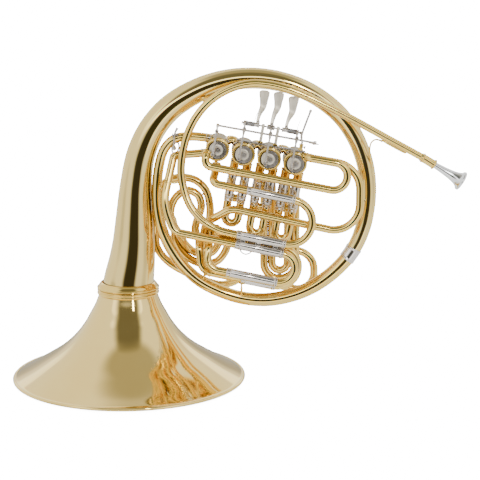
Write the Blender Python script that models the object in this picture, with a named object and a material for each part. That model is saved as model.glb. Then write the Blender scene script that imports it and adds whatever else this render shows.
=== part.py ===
"""Double french horn, four rotary valves in one row, detachable bell.

Frame: +Z up, +X from the bell towards the mouthpiece, -Y the side of the
stop arms.  The horn stands on its bell rim (z = 0).  Every number below is
in millimetres from the bell's own axis and is scaled in one place, P().
"""
import bpy, bmesh, math
from mathutils import Vector, Matrix

MM = 0.001
X_MID = 143.3            # bell axis to the middle of the whole length
GAP = 0.3                # clearance between neighbouring solids

# ---- driving dimensions (mm) ----
BELL_R = 155.0           # bell rim
RING_R = 41.0            # detachable-bell screw ring
RING_Z = 122.5           # parting plane of the screw ring
TUBE_R = 5.3             # ordinary branch and crook, outside
TUBE_BORE = 4.3
SLEEVE_R = 6.0           # nickel outer slide tube, outside
SLEEVE_BORE = 5.35
LEG_R = 4.95             # inner slide tube
LEG_BORE = 4.2
ROW_TILT = math.radians(10.3)     # the valve row falls towards the mouthpiece
VALVE_1 = (119.0, 311.0)          # first rotor axis, (x, z)
VALVE_PITCH = 33.9
CASING_R, CASING_BORE = 15.6, 14.1
ROTOR_R = 13.4
FRONT_Y, BACK_Y = -30.0, 20.0
HINGE_Y = -24.0
LINK_Y = -45.5
HINGE_N = 40.0           # finger lever axis above the valve row
THUMB_N = 30.5           # thumb lever axis above the valve row
ARM = 22.0               # lever short arm
SWING = math.radians(12.2)        # half of a lever's travel
PIN_R = 6.6              # link pin on the stop arm
LEG_PITCH = 8.4          # half spacing of a valve slide's two legs
Y_MAIN, Y_F, Y_BB, Y_D, Y_LEG_F, Y_LEG_B = -38.0, -36.0, -23.6, -25.0, -11.0, 8.0

E = Vector((math.cos(ROW_TILT), 0.0, -math.sin(ROW_TILT)))
N = Vector((math.sin(ROW_TILT), 0.0, math.cos(ROW_TILT)))
YV = Vector((0.0, 1.0, 0.0))

for o in list(bpy.data.objects):
    bpy.data.objects.remove(o, do_unlink=True)


def P(v):
    return Vector(((v[0] - X_MID) * MM, v[1] * MM, v[2] * MM))


def row(e, n, y):
    """Point in the valve row's own axes, measured from valve 1."""
    return Vector((VALVE_1[0], 0.0, VALVE_1[1])) + E * e + N * n + YV * y


# ---------------------------------------------------------------- materials
def material(name, colour, rough, metal):
    m = bpy.data.materials.new(name)
    m.use_nodes = True
    b = m.node_tree.nodes["Principled BSDF"]
    b.inputs["Base Color"].default_value = (*colour, 1.0)
    b.inputs["Roughness"].default_value = rough
    b.inputs["Metallic"].default_value = metal
    return m


BRASS = ((0.83, 0.62, 0.27), 0.16, 1.0)
PALE = ((0.80, 0.66, 0.38), 0.18, 1.0)
NICKEL = ((0.72, 0.69, 0.65), 0.22, 1.0)
STEEL = ((0.50, 0.50, 0.50), 0.28, 1.0)
SILVER = ((0.86, 0.86, 0.87), 0.12, 1.0)


def finish(me, name, mat, origin=None, smooth=True):
    """Make the object, with its own material and its origin on its axis."""
    if smooth:
        me.shade_smooth()
        me.set_sharp_from_angle(angle=math.radians(50))
    me.materials.append(material(name + "_metal", *mat))
    ob = bpy.data.objects.new(name, me)
    bpy.context.scene.collection.objects.link(ob)
    if origin is not None:
        o = P(origin)
        me.transform(Matrix.Translation(-o))
        ob.location = o
    return ob


# -------------------------------------------------------------- tube routes
def catmull(pts, step):
    """Smooth route through the given points, one sample about every step."""
    pts = [Vector(p) for p in pts]
    ext = [pts[0] * 2 - pts[1]] + pts + [pts[-1] * 2 - pts[-2]]
    out = []
    for i in range(1, len(ext) - 2):
        a, b, c, d = ext[i - 1:i + 3]
        n = max(1, round((c - b).length / step))
        ta = (b - a).length ** 0.5
        tb = (c - b).length ** 0.5
        tc = (d - c).length ** 0.5
        m1 = ((b - a) / ta - (c - a) / (ta + tb) + (c - b) / tb) * tb
        m2 = ((c - b) / tb - (d - b) / (tb + tc) + (d - c) / tc) * tb
        for k in range(n):
            t = k / n
            out.append(b * (2 * t**3 - 3 * t**2 + 1) + m1 * (t**3 - 2 * t**2 + t)
                       + c * (-2 * t**3 + 3 * t**2) + m2 * (t**3 - t**2))
    out.append(pts[-1])
    return out


def bent(verts, turn=36.0):
    """Straight runs with a bend of radius r at each inner vertex (x, y, z, r)."""
    out = [Vector(verts[0][:3])]
    for i in range(1, len(verts) - 1):
        a, b, c = (Vector(verts[k][:3]) for k in (i - 1, i, i + 1))
        r = verts[i][3]
        u, w = (a - b).normalized(), (c - b).normalized()
        ang = math.pi - u.angle(w)
        if ang < 0.02:
            continue
        cut = r * math.tan(ang / 2)
        p0 = b + u * cut
        centre = b + (u + w).normalized() * (r / math.cos(ang / 2))
        axis = (p0 - centre).cross(u).normalized()
        steps = max(1, math.ceil(ang / math.radians(turn)))
        for k in range(steps + 1):
            q = Matrix.Rotation(-ang * k / steps, 3, axis) @ (p0 - centre)
            out.append(centre + q)
    out.append(Vector(verts[-1][:3]))
    return out


def lengths(path):
    s = [0.0]
    for a, b in zip(path, path[1:]):
        s.append(s[-1] + (b - a).length)
    return s


def along(table, s):
    """Linear read of a (position, value) table."""
    if s <= table[0][0]:
        return table[0][1]
    for (a, va), (b, vb) in zip(table, table[1:]):
        if s <= b:
            return va + (vb - va) * (s - a) / max(b - a, 1e-9)
    return table[-1][1]


def cut_at(path, stations):
    """Add points on the route at the given distances from its start."""
    s = lengths(path)
    marks = sorted({q for q in stations if 0.5 < q < s[-1] - 0.5})
    keep = [q for q in s[1:-1] if all(abs(q - m) > 1.0 for m in marks)]
    out = []
    for q in sorted([0.0, s[-1]] + marks + keep):
        i = max(1, next(j for j in range(len(s)) if s[j] >= q - 1e-6))
        out.append(path[i - 1].lerp(path[i], (q - s[i - 1]) / (s[i] - s[i - 1])))
    return out


def tube(name, path, mat, outer=TUBE_R, bore=TUBE_BORE, sides=8, solid=False, origin=None):
    """Sweep a ring along a route; outer and bore are numbers or tables of
    (distance from the start, radius).  A repeated distance makes a step."""
    to = outer if isinstance(outer, list) else [(0.0, outer), (1e9, outer)]
    tb = bore if isinstance(bore, list) else [(0.0, bore), (1e9, bore)]
    path = cut_at([Vector(p) for p in path], [q for q, _ in to + tb if 0 < q < 1e8])
    s = lengths(path)
    t0 = (path[1] - path[0]).normalized()
    up = YV - t0 * YV.dot(t0)
    if up.length < 0.2:
        up = Vector((0, 0, 1)) - t0 * t0.z
    up.normalize()
    frames, prev = [], t0
    for i, p in enumerate(path):
        a = (path[i] - path[i - 1]).normalized() if i else t0
        b = (path[i + 1] - path[i]).normalized() if i < len(path) - 1 else a
        t = (a + b).normalized()
        q = prev.rotation_difference(t)
        up = (q @ up).normalized()
        up = (up - t * up.dot(t)).normalized()
        prev = t
        k = 1.0 / max(0.6, math.cos(a.angle(b) / 2)) if 0 < i < len(path) - 1 else 1.0
        frames.append((p, up.copy(), t.cross(up).normalized(), t))

    def ring(bm, fr, r, push=0.0):
        p, u, w, t = fr
        vs = []
        for j in range(sides):
            g = 2 * math.pi * (j + 0.5) / sides
            vs.append(bm.verts.new(P(p + t * push + u * (r * math.cos(g)) + w * (r * math.sin(g)))))
        return vs

    bm = bmesh.new()

    def shell(table):
        rings = []
        marks = [q for q, _ in table]
        for i, fr in enumerate(frames):
            hits = [v for q, v in table if abs(q - s[i]) < 0.06]
            if len(hits) >= 2 and 0 < i < len(frames) - 1:
                rings.append(ring(bm, fr, hits[0], -0.05))
                rings.append(ring(bm, fr, hits[-1], 0.05))
            else:
                rings.append(ring(bm, fr, along(table, s[i])))
        return rings

    ro = shell(to)
    for a, b in zip(ro, ro[1:]):
        for j in range(sides):
            k = (j + 1) % sides
            bm.faces.new((a[j], a[k], b[k], b[j]))
    if solid:
        bm.faces.new(list(reversed(ro[0])))
        bm.faces.new(ro[-1])
    else:
        ri = shell(tb)
        for a, b in zip(ri, ri[1:]):
            for j in range(sides):
                k = (j + 1) % sides
                bm.faces.new((a[j], b[j], b[k], a[k]))
        for a, b in ((ro[0], ri[0]), (ri[-1], ro[-1])):
            for j in range(sides):
                k = (j + 1) % sides
                bm.faces.new((a[j], b[j], b[k], a[k]))
    bmesh.ops.recalc_face_normals(bm, faces=bm.faces)
    me = bpy.data.meshes.new(name)
    bm.to_mesh(me)
    bm.free()
    return finish(me, name, mat, origin)


def turned(name, profile, base, axis, mat, seg=16, origin=None, phase=0.5):
    """Turn a closed outline of (radius, height) about an axis at base."""
    axis = Vector(axis).normalized()
    ref = YV if abs(axis.y) < 0.9 else Vector((1, 0, 0))
    u = (ref - axis * ref.dot(axis)).normalized()
    w = axis.cross(u)
    base = Vector(base)
    bm = bmesh.new()
    rings = []
    for r, h in profile:
        if r < 1e-6:
            rings.append([bm.verts.new(P(base + axis * h))])
        else:
            rings.append([bm.verts.new(P(base + axis * h
                          + u * (r * math.cos(2 * math.pi * (j + phase) / seg))
                          + w * (r * math.sin(2 * math.pi * (j + phase) / seg)))) for j in range(seg)])
    loop = profile[0][0] > 1e-6
    pairs = list(zip(rings, rings[1:])) + ([(rings[-1], rings[0])] if loop else [])
    for a, b in pairs:
        if len(a) == 1 and len(b) == 1:
            continue
        for j in range(seg):
            k = (j + 1) % seg
            f = [a[j % len(a)], a[k % len(a)], b[k % len(b)], b[j % len(b)]]
            g = []
            for v in f:
                if v not in g:
                    g.append(v)
            if len(g) > 2:
                bm.faces.new(g)
    bmesh.ops.recalc_face_normals(bm, faces=bm.faces)
    me = bpy.data.meshes.new(name)
    bm.to_mesh(me)
    bm.free()
    return finish(me, name, mat, origin)


def slab(name, corners, mat, origin=None):
    """Prism: corners is (list of points, extrusion vector)."""
    pts, push = corners
    bm = bmesh.new()
    a = [bm.verts.new(P(p)) for p in pts]
    b = [bm.verts.new(P(Vector(p) + Vector(push))) for p in pts]
    bm.faces.new(a)
    bm.faces.new(list(reversed(b)))
    for i in range(len(a)):
        k = (i + 1) % len(a)
        bm.faces.new((a[i], b[i], b[k], a[k]))
    bmesh.ops.recalc_face_normals(bm, faces=bm.faces)
    me = bpy.data.meshes.new(name)
    bm.to_mesh(me)
    bm.free()
    return finish(me, name, mat, origin)


def combine(target, tools, op):
    """Boolean each tool into the target and drop it."""
    for t in tools:
        m = target.modifiers.new("b", "BOOLEAN")
        m.operation, m.solver, m.object = op, "EXACT", t
        dg = bpy.context.evaluated_depsgraph_get()
        dg.update()
        me = bpy.data.meshes.new_from_object(target.evaluated_get(dg))
        target.modifiers.clear()
        target.data = me
        bpy.data.objects.remove(t, do_unlink=True)
    return target


def disc_outline(centre, u, w, r, n):
    return [Vector(centre) + u * (r * math.cos(2 * math.pi * k / n)) + w * (r * math.sin(2 * math.pi * k / n))
            for k in range(n)]


# ------------------------------------------------------------------- bell
FLARE = [(38.5, 111.0), (44.5, 100.5), (50.5, 89.5), (57.5, 77.0), (68.0, 62.5),
         (80.0, 49.8), (95.0, 37.6), (113.0, 26.0), (134.0, 13.5), (151.0, 4.6)]
WALL = 1.0
outline = [(RING_R, RING_Z - 0.2), (RING_R, RING_Z - 6.5), (38.8, RING_Z - 8.0)] + FLARE[1:]
outline += [(154.0, 5.0), (155.0, 2.5), (154.2, 0.0), (151.6, 0.0), (150.6, 2.4)]
outline += [(r - WALL * 0.8, h - WALL * 0.75) for r, h in reversed(FLARE[:-1])]
outline += [(37.5, RING_Z - 0.2)]
turned("bell_flare", outline, (0, 0, 0), (0, 0, 1), PALE, seg=28)

turned("bell_screw_ring", [(RING_R, RING_Z + 0.2), (RING_R, RING_Z + 4.0), (39.4, RING_Z + 6.2),
                           (36.2, RING_Z + 8.5), (34.9, RING_Z + 8.5), (35.2, RING_Z + 0.2)],
       (0, 0, 0), (0, 0, 1), BRASS, seg=20)

# The bell branch is one long taper: from the screw ring up over the top, down
# the right, through the ferrule, along the bottom and up to the change valve
BRANCH = [(0.8, 0, 131.4), (3.0, 0, 143), (5.6, 0, 160), (8.0, 0, 184), (9.5, 0, 220), (12, 0, 262), (19, 0, 301),
          (34, 0, 334), (58, 0, 362), (93, 0, 384), (127, 0, 396), (161, 0, 400), (196, 0, 396.5), (230, 0, 385.5),
          (258, 0, 369), (281, 0, 348), (300, 0, 318.5), (311.5, 0, 286), (315.5, 0, 252), (312, 0, 214),
          (306, 0, 193), (299.6, 0, 178.8), (286.6, 0, 159.4), (264, 0, 137.4), (239, 0, 121.2), (211, 0, 110.6), (181, 0, 106),
          (150, -1, 109), (121, -2, 118.5), (96, -4, 132), (75, -5, 151), (57.5, -6, 176), (45.5, -7, 204),
          (40, -8, 234), (40, -9, 262), (43.5, -10, 289), (50, -11, 309), (63, -12, 322.5), (84, -12, 326),
          (103.2, -12, 324.6)]
BRANCH_R = [(0, 33.6), (30, 30.4), (60, 27.2), (95, 23.8), (140, 20.2), (200, 18.0), (270, 16.3), (345, 14.0),
            (390, 13.3), (470, 12.0), (600, 10.9), (690, 9.8), (840, 8.8), (980, 7.5), (1050, 6.8), (1150, 5.9),
            (1200, 5.4)]


def portion(path, s0, s1):
    """The stretch of a route between two distances."""
    s = lengths(path)
    s1 = min(s1, s[-1])
    q = [s0] + [v for v in s if s0 + 0.6 < v < s1 - 0.6] + [s1]
    out = []
    for v in q:
        i = max(1, next(j for j in range(len(s)) if s[j] >= v - 1e-6))
        out.append(path[i - 1].lerp(path[i], (v - s[i - 1]) / (s[i] - s[i - 1])))
    return out


branch = catmull(BRANCH, 30)
b_len = lengths(branch)[-1]
FERRULE_S = lengths(branch)[min(range(len(branch)), key=lambda i: (branch[i] - Vector((299.6, 0, 178.8))).length)] + 2.4
for name, s0, s1, sides, mat, extra in (
        ("bell_tail", 0.0, 470.0, 12, PALE, 0.0), ("branch_right", 470.3, FERRULE_S, 10, PALE, 0.0),
        ("branch_ferrule", FERRULE_S + 0.3, FERRULE_S + 18.3, 10, NICKEL, 1.2),
        ("branch_lower", FERRULE_S + 18.6, b_len, 8, PALE, 0.0)):
    span = min(s1, b_len) - s0
    cuts = [0.0] + [q - s0 for q, _ in BRANCH_R if s0 < q < s0 + span - 1] + [span]
    wall = [(q, along(BRANCH_R, q + s0) + extra) for q in cuts]
    tube(name, portion(branch, s0, s1), mat, sides=sides, outer=wall, bore=[(q, r - 1.0 - extra) for q, r in wall])

# -------------------------------------------------------------- mouthpiece
PIPE_END = Vector((399.0, -24.0, 290.4))
PIPE_DIR = Vector((math.cos(math.radians(31.0)), 0, -math.sin(math.radians(31.0))))
LEAD = [(205.0, -38, 189.6), (174, -38, 195.9), (143.5, -38, 202.0), (120, -37.5, 208.0), (101, -36, 219),
        (86, -32, 235), (76.5, -28, 256), (72, -25, 280), (74, -24, 305), (80.5, -24, 330), (92, -24, 353),
        (110, -24, 373.5), (134, -24, 388.5), (161, -24, 395.5), (187, -24, 394), (212, -24, 387.5),
        (237, -24, 377.5), (263, -24, 364.8), (300, -24, 345.6), (340, -24, 323.6)]
LEAD += [tuple(PIPE_END - PIPE_DIR * 21.0), tuple(PIPE_END)]
lead = catmull(LEAD, 21)
ll = lengths(lead)[-1]
tube("leadpipe", lead, BRASS,
     outer=[(0, SLEEVE_R), (62, SLEEVE_R), (62, TUBE_R), (ll - 200, 5.2), (ll - 21, 4.9), (ll - 21, 6.2), (ll, 6.2)],
     bore=[(0, SLEEVE_BORE), (60, SLEEVE_BORE), (60, TUBE_BORE), (ll - 22, 3.9), (ll - 22, 4.75), (ll, 4.75)])
turned("mouthpiece", [(3.4, -18.5), (4.15, 0.0), (4.3, 3.0), (5.0, 12.0), (6.4, 24.0), (8.6, 33.0), (10.3, 37.0),
                      (12.8, 38.6), (12.9, 40.8), (11.4, 42.0), (9.2, 41.0), (8.2, 36.0), (5.6, 26.0),
                      (2.5, 17.0), (2.3, 8.0), (2.9, -18.5)], PIPE_END, PIPE_DIR, SILVER, seg=12)

# ------------------------------------------------------- slides and crooks
SD = Vector((0.979, 0, -0.204))           # the way the tuning slides pull
SN = Vector((0.204, 0, 0.979))


def u_slide(name, low, high, reach, leg, leg_high=None):
    """Bow of a tuning slide: low and high are the two sleeve mouths."""
    low, high = Vector(low), Vector(high)
    r = (high - low).length / 2
    a0, b0 = low - SD * leg, high - SD * (leg_high or leg)
    c1, c2 = low + SD * (reach + r), high + SD * (reach + r)
    path = bent([tuple(a0), (*c1, r - 0.05), (*c2, r - 0.05), tuple(b0)], turn=36)
    total = lengths(path)[-1]
    lh = leg_high or leg
    return tube(name, path, BRASS,
                outer=[(0, LEG_R), (leg + GAP, LEG_R), (leg + GAP, TUBE_R), (total - lh - GAP, TUBE_R),
                       (total - lh - GAP, LEG_R), (total, LEG_R)], bore=LEG_BORE, origin=low)


def sleeve(name, path, cuts, mat=BRASS, **kw):
    """Branch tube with an enlarged nickel slide sleeve at its start and/or end."""
    total = lengths(path)[-1]
    o, b = [], []
    if cuts[0]:
        o += [(0, SLEEVE_R), (cuts[0], SLEEVE_R), (cuts[0], TUBE_R)]
        b += [(0, SLEEVE_BORE), (cuts[0] - 2, SLEEVE_BORE), (cuts[0] - 2, TUBE_BORE)]
    else:
        o += [(0, TUBE_R)]
        b += [(0, TUBE_BORE)]
    if cuts[1]:
        o += [(total - cuts[1], TUBE_R), (total - cuts[1], SLEEVE_R), (total, SLEEVE_R)]
        b += [(total - cuts[1] + 2, TUBE_BORE), (total - cuts[1] + 2, SLEEVE_BORE), (total, SLEEVE_BORE)]
    else:
        o += [(total, TUBE_R)]
        b += [(total, TUBE_BORE)]
    return tube(name, path, mat, outer=o, bore=b, **kw)


# main tuning slide: the leadpipe's own sleeve below, this branch above
M_LOW = Vector((205.0, Y_MAIN, 189.6))
M_HIGH = M_LOW + SN * 59.0
u_slide("main_slide", M_LOW, M_HIGH, 0.6, 52)
m_end = M_HIGH - SD * 62
m_elbow = M_HIGH - SD * 107
sleeve("main_return", bent([tuple(M_HIGH), (*m_elbow, 9.0), (115.5, -20, 279, 8.0), (118, -13, 291.5)],
                           turn=45), (62, 0))

# branch from valve 4 to the left, in front of the valve slides
c_start = row(101.7 + 15.9, 11.5, Y_F)
C_TOP = c_start + E * 34
sleeve("valve4_return", bent([tuple(c_start), (*(C_TOP + E * 18.6), 17.6), (*(C_TOP + E * 18.6 - N * 35.8), 17.6),
                              (*row(-13.0, -22.0, Y_F), 9.0), tuple(row(-13.0, -8.0, Y_F))], turn=36), (0, 0))

# outer branch from valve 4, behind the last one and in front of the valve slides
d_start = row(101.7 + 15.9, 10.5, Y_D)
sleeve("valve4_outer_return",
       bent([tuple(d_start), (303, Y_D, 288.5, 36), (303, Y_D, 197.5, 33), (137, -24, 233.4, 22),
             (104, -18, 214.0, 16), (99, 8, 188, 14), (99, 12, 176)], turn=36), (0, 0))

# F tuning slide, front layer
F_HIGH = Vector((202.0, Y_F, 176.2))
F_LOW = F_HIGH - SN * 38.6
u_slide("f_tuning_slide", F_LOW, F_HIGH, 1.5, 50)
f_in = F_HIGH - SD * 62
sleeve("f_slide_inlet", bent([tuple(F_HIGH), (62.5, Y_F, 205.3, 17), (49.0, -33, 243, 60), (62.5, -14, 301.5, 7.0),
                              (102.6, -12, 304.6)], turn=36), (62, 0))
f_out = F_LOW - SD * 66
sleeve("f_slide_outlet", bent([tuple(F_LOW), (*(F_LOW - SD * 92), 17), (107.5, -30, 184.5, 12),
                               (107.5, -9.0, 190)], turn=36), (66, 0))

# B-flat tuning slide, second layer
B_LOW = Vector((192.0, Y_BB, 131.0))
B_HIGH = B_LOW + SN * 52.0
u_slide("b_flat_tuning_slide", B_LOW, B_HIGH, 0.6, 34, 34)
sleeve("b_flat_slide_outlet", bent([tuple(B_LOW), (*(B_LOW - SD * 96), 17), (94.5, Y_BB, 186, 12),
                                    (94.5, -5, 189)], turn=36), (44, 0))
sleeve("b_flat_slide_inlet", bent([tuple(B_HIGH), (*(B_HIGH - SD * 88), 10), (116.0, 4.0, 200.5)],
                                  turn=45), (44, 0))

# rear crook, far right
tube("rear_right_crook", bent([(150, 39, 179.8), (247.5, 39, 159.5, 26), (247.5, 39, 106.3, 22), (150, 39, 126.6)],
                              turn=36), BRASS)

# ------------------------------------------------------------- rear coils
def stayed(a, b, p, q):
    """Solder a short stay between two tubes, which makes them one piece."""
    combine(a, [b, tube("t7", [p, q], BRASS, outer=1.6, solid=True, sides=6)], "UNION")


u1 = tube("upper_coil", catmull([(52, 14, 262), (70, 14, 268), (89, 14, 264.5), (103, 14, 251), (108.5, 14, 228),
                                  (106, 14, 206), (99, 20, 190)], 17), BRASS)
u2 = tube("t8", catmull([(66, 12, 196), (58, 12, 209), (56.5, 12, 224), (63, 12, 241), (77, 12, 251),
                                  (92, 12, 245.5), (97, 12, 230), (91, 14, 212)], 15), BRASS)
stayed(u1, u2, (101.5, 13.8, 250.3), (93.5, 12.2, 245.8))
u1 = tube("lower_coil", catmull([(60, 26, 199), (62, 26, 182), (70, 26, 166), (84, 26, 154), (101, 26, 148.5),
                                  (118, 26, 153), (129, 26, 165), (133, 26, 182), (131, 26, 200)], 17), BRASS)
u2 = tube("t8", catmull([(72, 26, 199), (73.5, 26, 185), (82, 26, 169.5), (98, 26, 161.5),
                                  (114, 26, 167), (120.5, 26, 182), (119, 26, 200)], 16), BRASS)
stayed(u1, u2, (100.5, 26, 150.2), (98.5, 26, 160))
tube("rear_left_crook", catmull([(58, 28, 216), (42, 26, 208), (34.5, 23, 192), (38, 20, 172), (52, 18, 154),
                                 (72, 18, 141), (98, 18, 129), (126, 18, 121)], 18), BRASS)
u1 = tube("rear_loops", bent([(180, 26, 262), (180, 26, 129, 20.8), (222, 26, 129, 20.8), (222, 26, 262)],
                             turn=36), BRASS)
u2 = tube("t8", bent([(190, 26, 262), (190, 26, 140.5, 10.8), (212, 26, 140.5, 10.8), (212, 26, 262)],
                             turn=36), BRASS)
stayed(u1, u2, (201, 26, 130.2), (201, 26, 139.3))


# ------------------------------------------------------------------ valves
def valve_axis(k, y=0.0):
    return row(VALVE_PITCH * k, 0.0, y)


for k in range(4):
    tag = "valve%d_" % (k + 1)
    c = valve_axis(k)
    # casing: barrel closed in front by the bearing plate, open behind
    turned(tag + "casing", [(3.4, FRONT_Y), (CASING_R - 2.6, FRONT_Y), (CASING_R - 1.0, FRONT_Y + 1.2),
                            (CASING_R, FRONT_Y + 2.2), (CASING_R, BACK_Y), (CASING_BORE, BACK_Y),
                            (CASING_BORE, FRONT_Y + 3.4), (3.4, FRONT_Y + 3.4)], c, YV, BRASS, seg=14)
    turned(tag + "back_cap", [(0.0, BACK_Y + 0.3), (14.6, BACK_Y + 0.3), (15.0, BACK_Y + 1.0),
                              (15.0, BACK_Y + 4.2), (12.0, BACK_Y + 5.4), (0.0, BACK_Y + 5.4)],
           c, YV, BRASS, seg=14)
    turned(tag + "rotor", [(0.0, FRONT_Y - 3.2), (2.9, FRONT_Y - 3.2), (2.9, FRONT_Y + 4.2),
                           (ROTOR_R, FRONT_Y + 4.2), (ROTOR_R, BACK_Y - 0.6), (0.0, BACK_Y - 0.6)],
           c, YV, STEEL, seg=14, origin=c)
    # cork plate: a broken ring with a lug at each end, on the bearing plate
    pts = []
    span = [math.radians(a) for a in range(-96, 103, 22)]
    for a in span:
        pts.append(c + E * (11.4 * math.cos(a)) + N * (11.4 * math.sin(a)) + YV * (FRONT_Y + 0.5))
    for a in reversed(span):
        pts.append(c + E * (7.6 * math.cos(a)) + N * (7.6 * math.sin(a)) + YV * (FRONT_Y + 0.5))
    plate = slab("t0", (pts, (0, -2.2, 0)), NICKEL)
    combine(bpy.data.objects[tag + "casing"], [plate], "UNION")
    # stop arm: hub, arm and link pin, resting at 225 degrees in the row's axes
    ay = FRONT_Y - 3.5
    d = -(E + N).normalized()
    q = (E - N).normalized()
    arm = slab(tag + "stop_arm", (disc_outline(c + YV * ay, E, N, 4.2, 10), (0, -3.4, 0)), STEEL)
    bar = slab("t1", ([c + d * 2 + q * 1.7 + YV * (ay - 0.4), c + d * (PIN_R + 2.2) + q * 1.7 + YV * (ay - 0.4),
                       c + d * (PIN_R + 2.2) - q * 1.7 + YV * (ay - 0.4), c + d * 2 - q * 1.7 + YV * (ay - 0.4)],
                      (0, -2.4, 0)), STEEL)
    pin = slab("t2", (disc_outline(c + d * PIN_R + YV * (ay - 1.2), E, N, 1.3, 8),
                      (0, (LINK_Y + 2.9) - (ay - 1.2), 0)), STEEL)
    combine(arm, [bar, pin], "UNION")
    o = P(c)
    arm.data.transform(Matrix.Translation(-o))
    arm.location = o

# knuckles and slides below valves 2 to 4: F in front, B flat behind
groups = {}
for k, side in ((1, "f"), (2, "f"), (3, "f"), (1, "b"), (2, "b"), (3, "b")):
    y = Y_LEG_F if side == "f" else Y_LEG_B
    long_sleeve, drop = (60.0, (86.0, 93.5, 95.0)[k - 1]) if side == "f" else (44.0, (56.0, 62.0, 58.0)[k - 1])
    c = valve_axis(k, y)
    top = 13.9
    nm = "valve%d_%s_" % (k + 1, "f" if side == "f" else "b_flat")
    legs = []
    for sgn in (-1, 1):
        a = c + E * (LEG_PITCH * sgn)
        legs.append(tube("t_%s%d" % (nm, sgn), [a - N * top, a - N * long_sleeve],
                         NICKEL, outer=SLEEVE_R, bore=SLEEVE_BORE))
    stay = slab("t3", ([c - E * 3.2 - N * 30 + YV * 1.6, c + E * 3.2 - N * 30 + YV * 1.6,
                        c + E * 3.2 - N * 30 - YV * 1.6, c - E * 3.2 - N * 30 - YV * 1.6],
                       tuple(-N * 3.0)), NICKEL)
    groups.setdefault(k, []).extend(legs + [stay])
    a, b = c - E * LEG_PITCH, c + E * LEG_PITCH
    inner = long_sleeve - 22.0
    path = bent([tuple(a - N * inner), (*(a - N * (drop + LEG_PITCH)), LEG_PITCH - 0.05),
                 (*(b - N * (drop + LEG_PITCH)), LEG_PITCH - 0.05), tuple(b - N * inner)], turn=45)
    total = lengths(path)[-1]
    tube(nm + "slide", path, BRASS,
         outer=[(0, LEG_R), (22.0 + GAP, LEG_R), (22.0 + GAP, TUBE_R), (total - 22.0 - GAP, TUBE_R),
                (total - 22.0 - GAP, LEG_R), (total, LEG_R)], bore=LEG_BORE, origin=c - N * long_sleeve)

for k, members in groups.items():
    c = valve_axis(k) - N * 22 + E * LEG_PITCH
    tie = slab("t9", ([c + E * 1.6 + YV * (Y_LEG_F + 5.0), c - E * 1.6 + YV * (Y_LEG_F + 5.0),
                       c - E * 1.6 + YV * (Y_LEG_B - 5.0), c + E * 1.6 + YV * (Y_LEG_B - 5.0)],
                      tuple(-N * 4.0)), NICKEL)
    members[0].name = "valve%d_slide_sleeves" % (k + 1)
    combine(members[0], members[1:] + [tie], "UNION")
    # the knuckles are saddled to the round casing
    saddle = slab("t9", (disc_outline(valve_axis(k, -34), E, N, CASING_R + 0.3, 14), (0, 60, 0)), NICKEL)
    combine(members[0], [saddle], "DIFFERENCE")

# ----------------------------------------------------------------- linkage
bracket = slab("lever_bracket", ([row(22, 16.0, -29), row(112, 16.0, -29), row(112, 16.0, -19), row(22, 16.0, -19)],
                       tuple(N * 1.8)), NICKEL)
for nm, e in (("lever_post_left", 52.5), ("lever_post_right", 72.0)):
    post = slab(nm, ([row(e - 1.4, 17.0, HINGE_Y - 2.9), row(e - 1.4, 17.0, HINGE_Y + 2.9),
                      row(e - 1.4, 43.4, HINGE_Y + 2.9), row(e - 1.4, 43.4, HINGE_Y - 2.9)], tuple(E * 2.8)),
                NICKEL)
    holes = [slab("h%d" % i, (disc_outline(row(e - 3, n, HINGE_Y), N, YV, 1.65, 8), tuple(E * 6)), NICKEL)
             for i, n in enumerate((HINGE_N, THUMB_N))]
    combine(post, holes, "DIFFERENCE")
    combine(bracket, [post], "UNION")
slab("lever_axle", (disc_outline(row(24.5, HINGE_N, HINGE_Y), N, YV, 1.2, 8), tuple(E * 77.5)), STEEL)


LINK_DN = -ARM * math.sin(SWING)
LINK_DY = -ARM * math.cos(SWING)
FINGERS = (("finger_lever_1", VALVE_PITCH - 5.2, (26.6, 47.5), 44.5, (178.5, 374.0)),
           ("finger_lever_2", 2 * VALVE_PITCH - 5.2, (57.5, 67.5), 62.5, (197.0, 372.5)),
           ("finger_lever_3", 3 * VALVE_PITCH - 5.2, (77.0, 99.0), 81.5, (216.0, 367.0)))
for name, le, hub, fe, pad in FINGERS:
    axis = row(0, HINGE_N, HINGE_Y)
    ob = turned(name, [(1.75, hub[0]), (3.0, hub[0]), (3.0, hub[1]), (1.75, hub[1])], axis, E, STEEL, seg=8)
    tip = row(le, HINGE_N + LINK_DN, HINGE_Y + LINK_DY)
    a = row(le, HINGE_N, HINGE_Y)
    u = (tip - a).normalized()
    short = tube("t1", [a + u * 2.3, tip - u * 3.2], STEEL, outer=1.5, solid=True, sides=8)
    base = row(fe, HINGE_N, HINGE_Y)
    neck = Vector((pad[0] - 1.0, -15.0, pad[1] - 9.0))
    v = (neck - base).normalized()
    long_arm = tube("t2", [base + v * 2.3, base.lerp(neck, 0.55) + Vector((-1.5, -1.5, 0)), neck,
                           Vector((pad[0], -14.0, pad[1] - 4))], STEEL, outer=1.6, solid=True, sides=6)
    pc = Vector((pad[0], -14.6, pad[1]))
    paddle = slab("t3", ([pc + Vector((6.0 * math.sin(t), 0, 8.6 * math.cos(t)))
                          for t in (2 * math.pi * j / 12 for j in range(12))], (0, 1.5, 0)), STEEL)
    combine(ob, [short, long_arm, paddle], "UNION")
    o = P(base)
    ob.data.transform(Matrix.Translation(-o))
    ob.location = o

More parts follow.
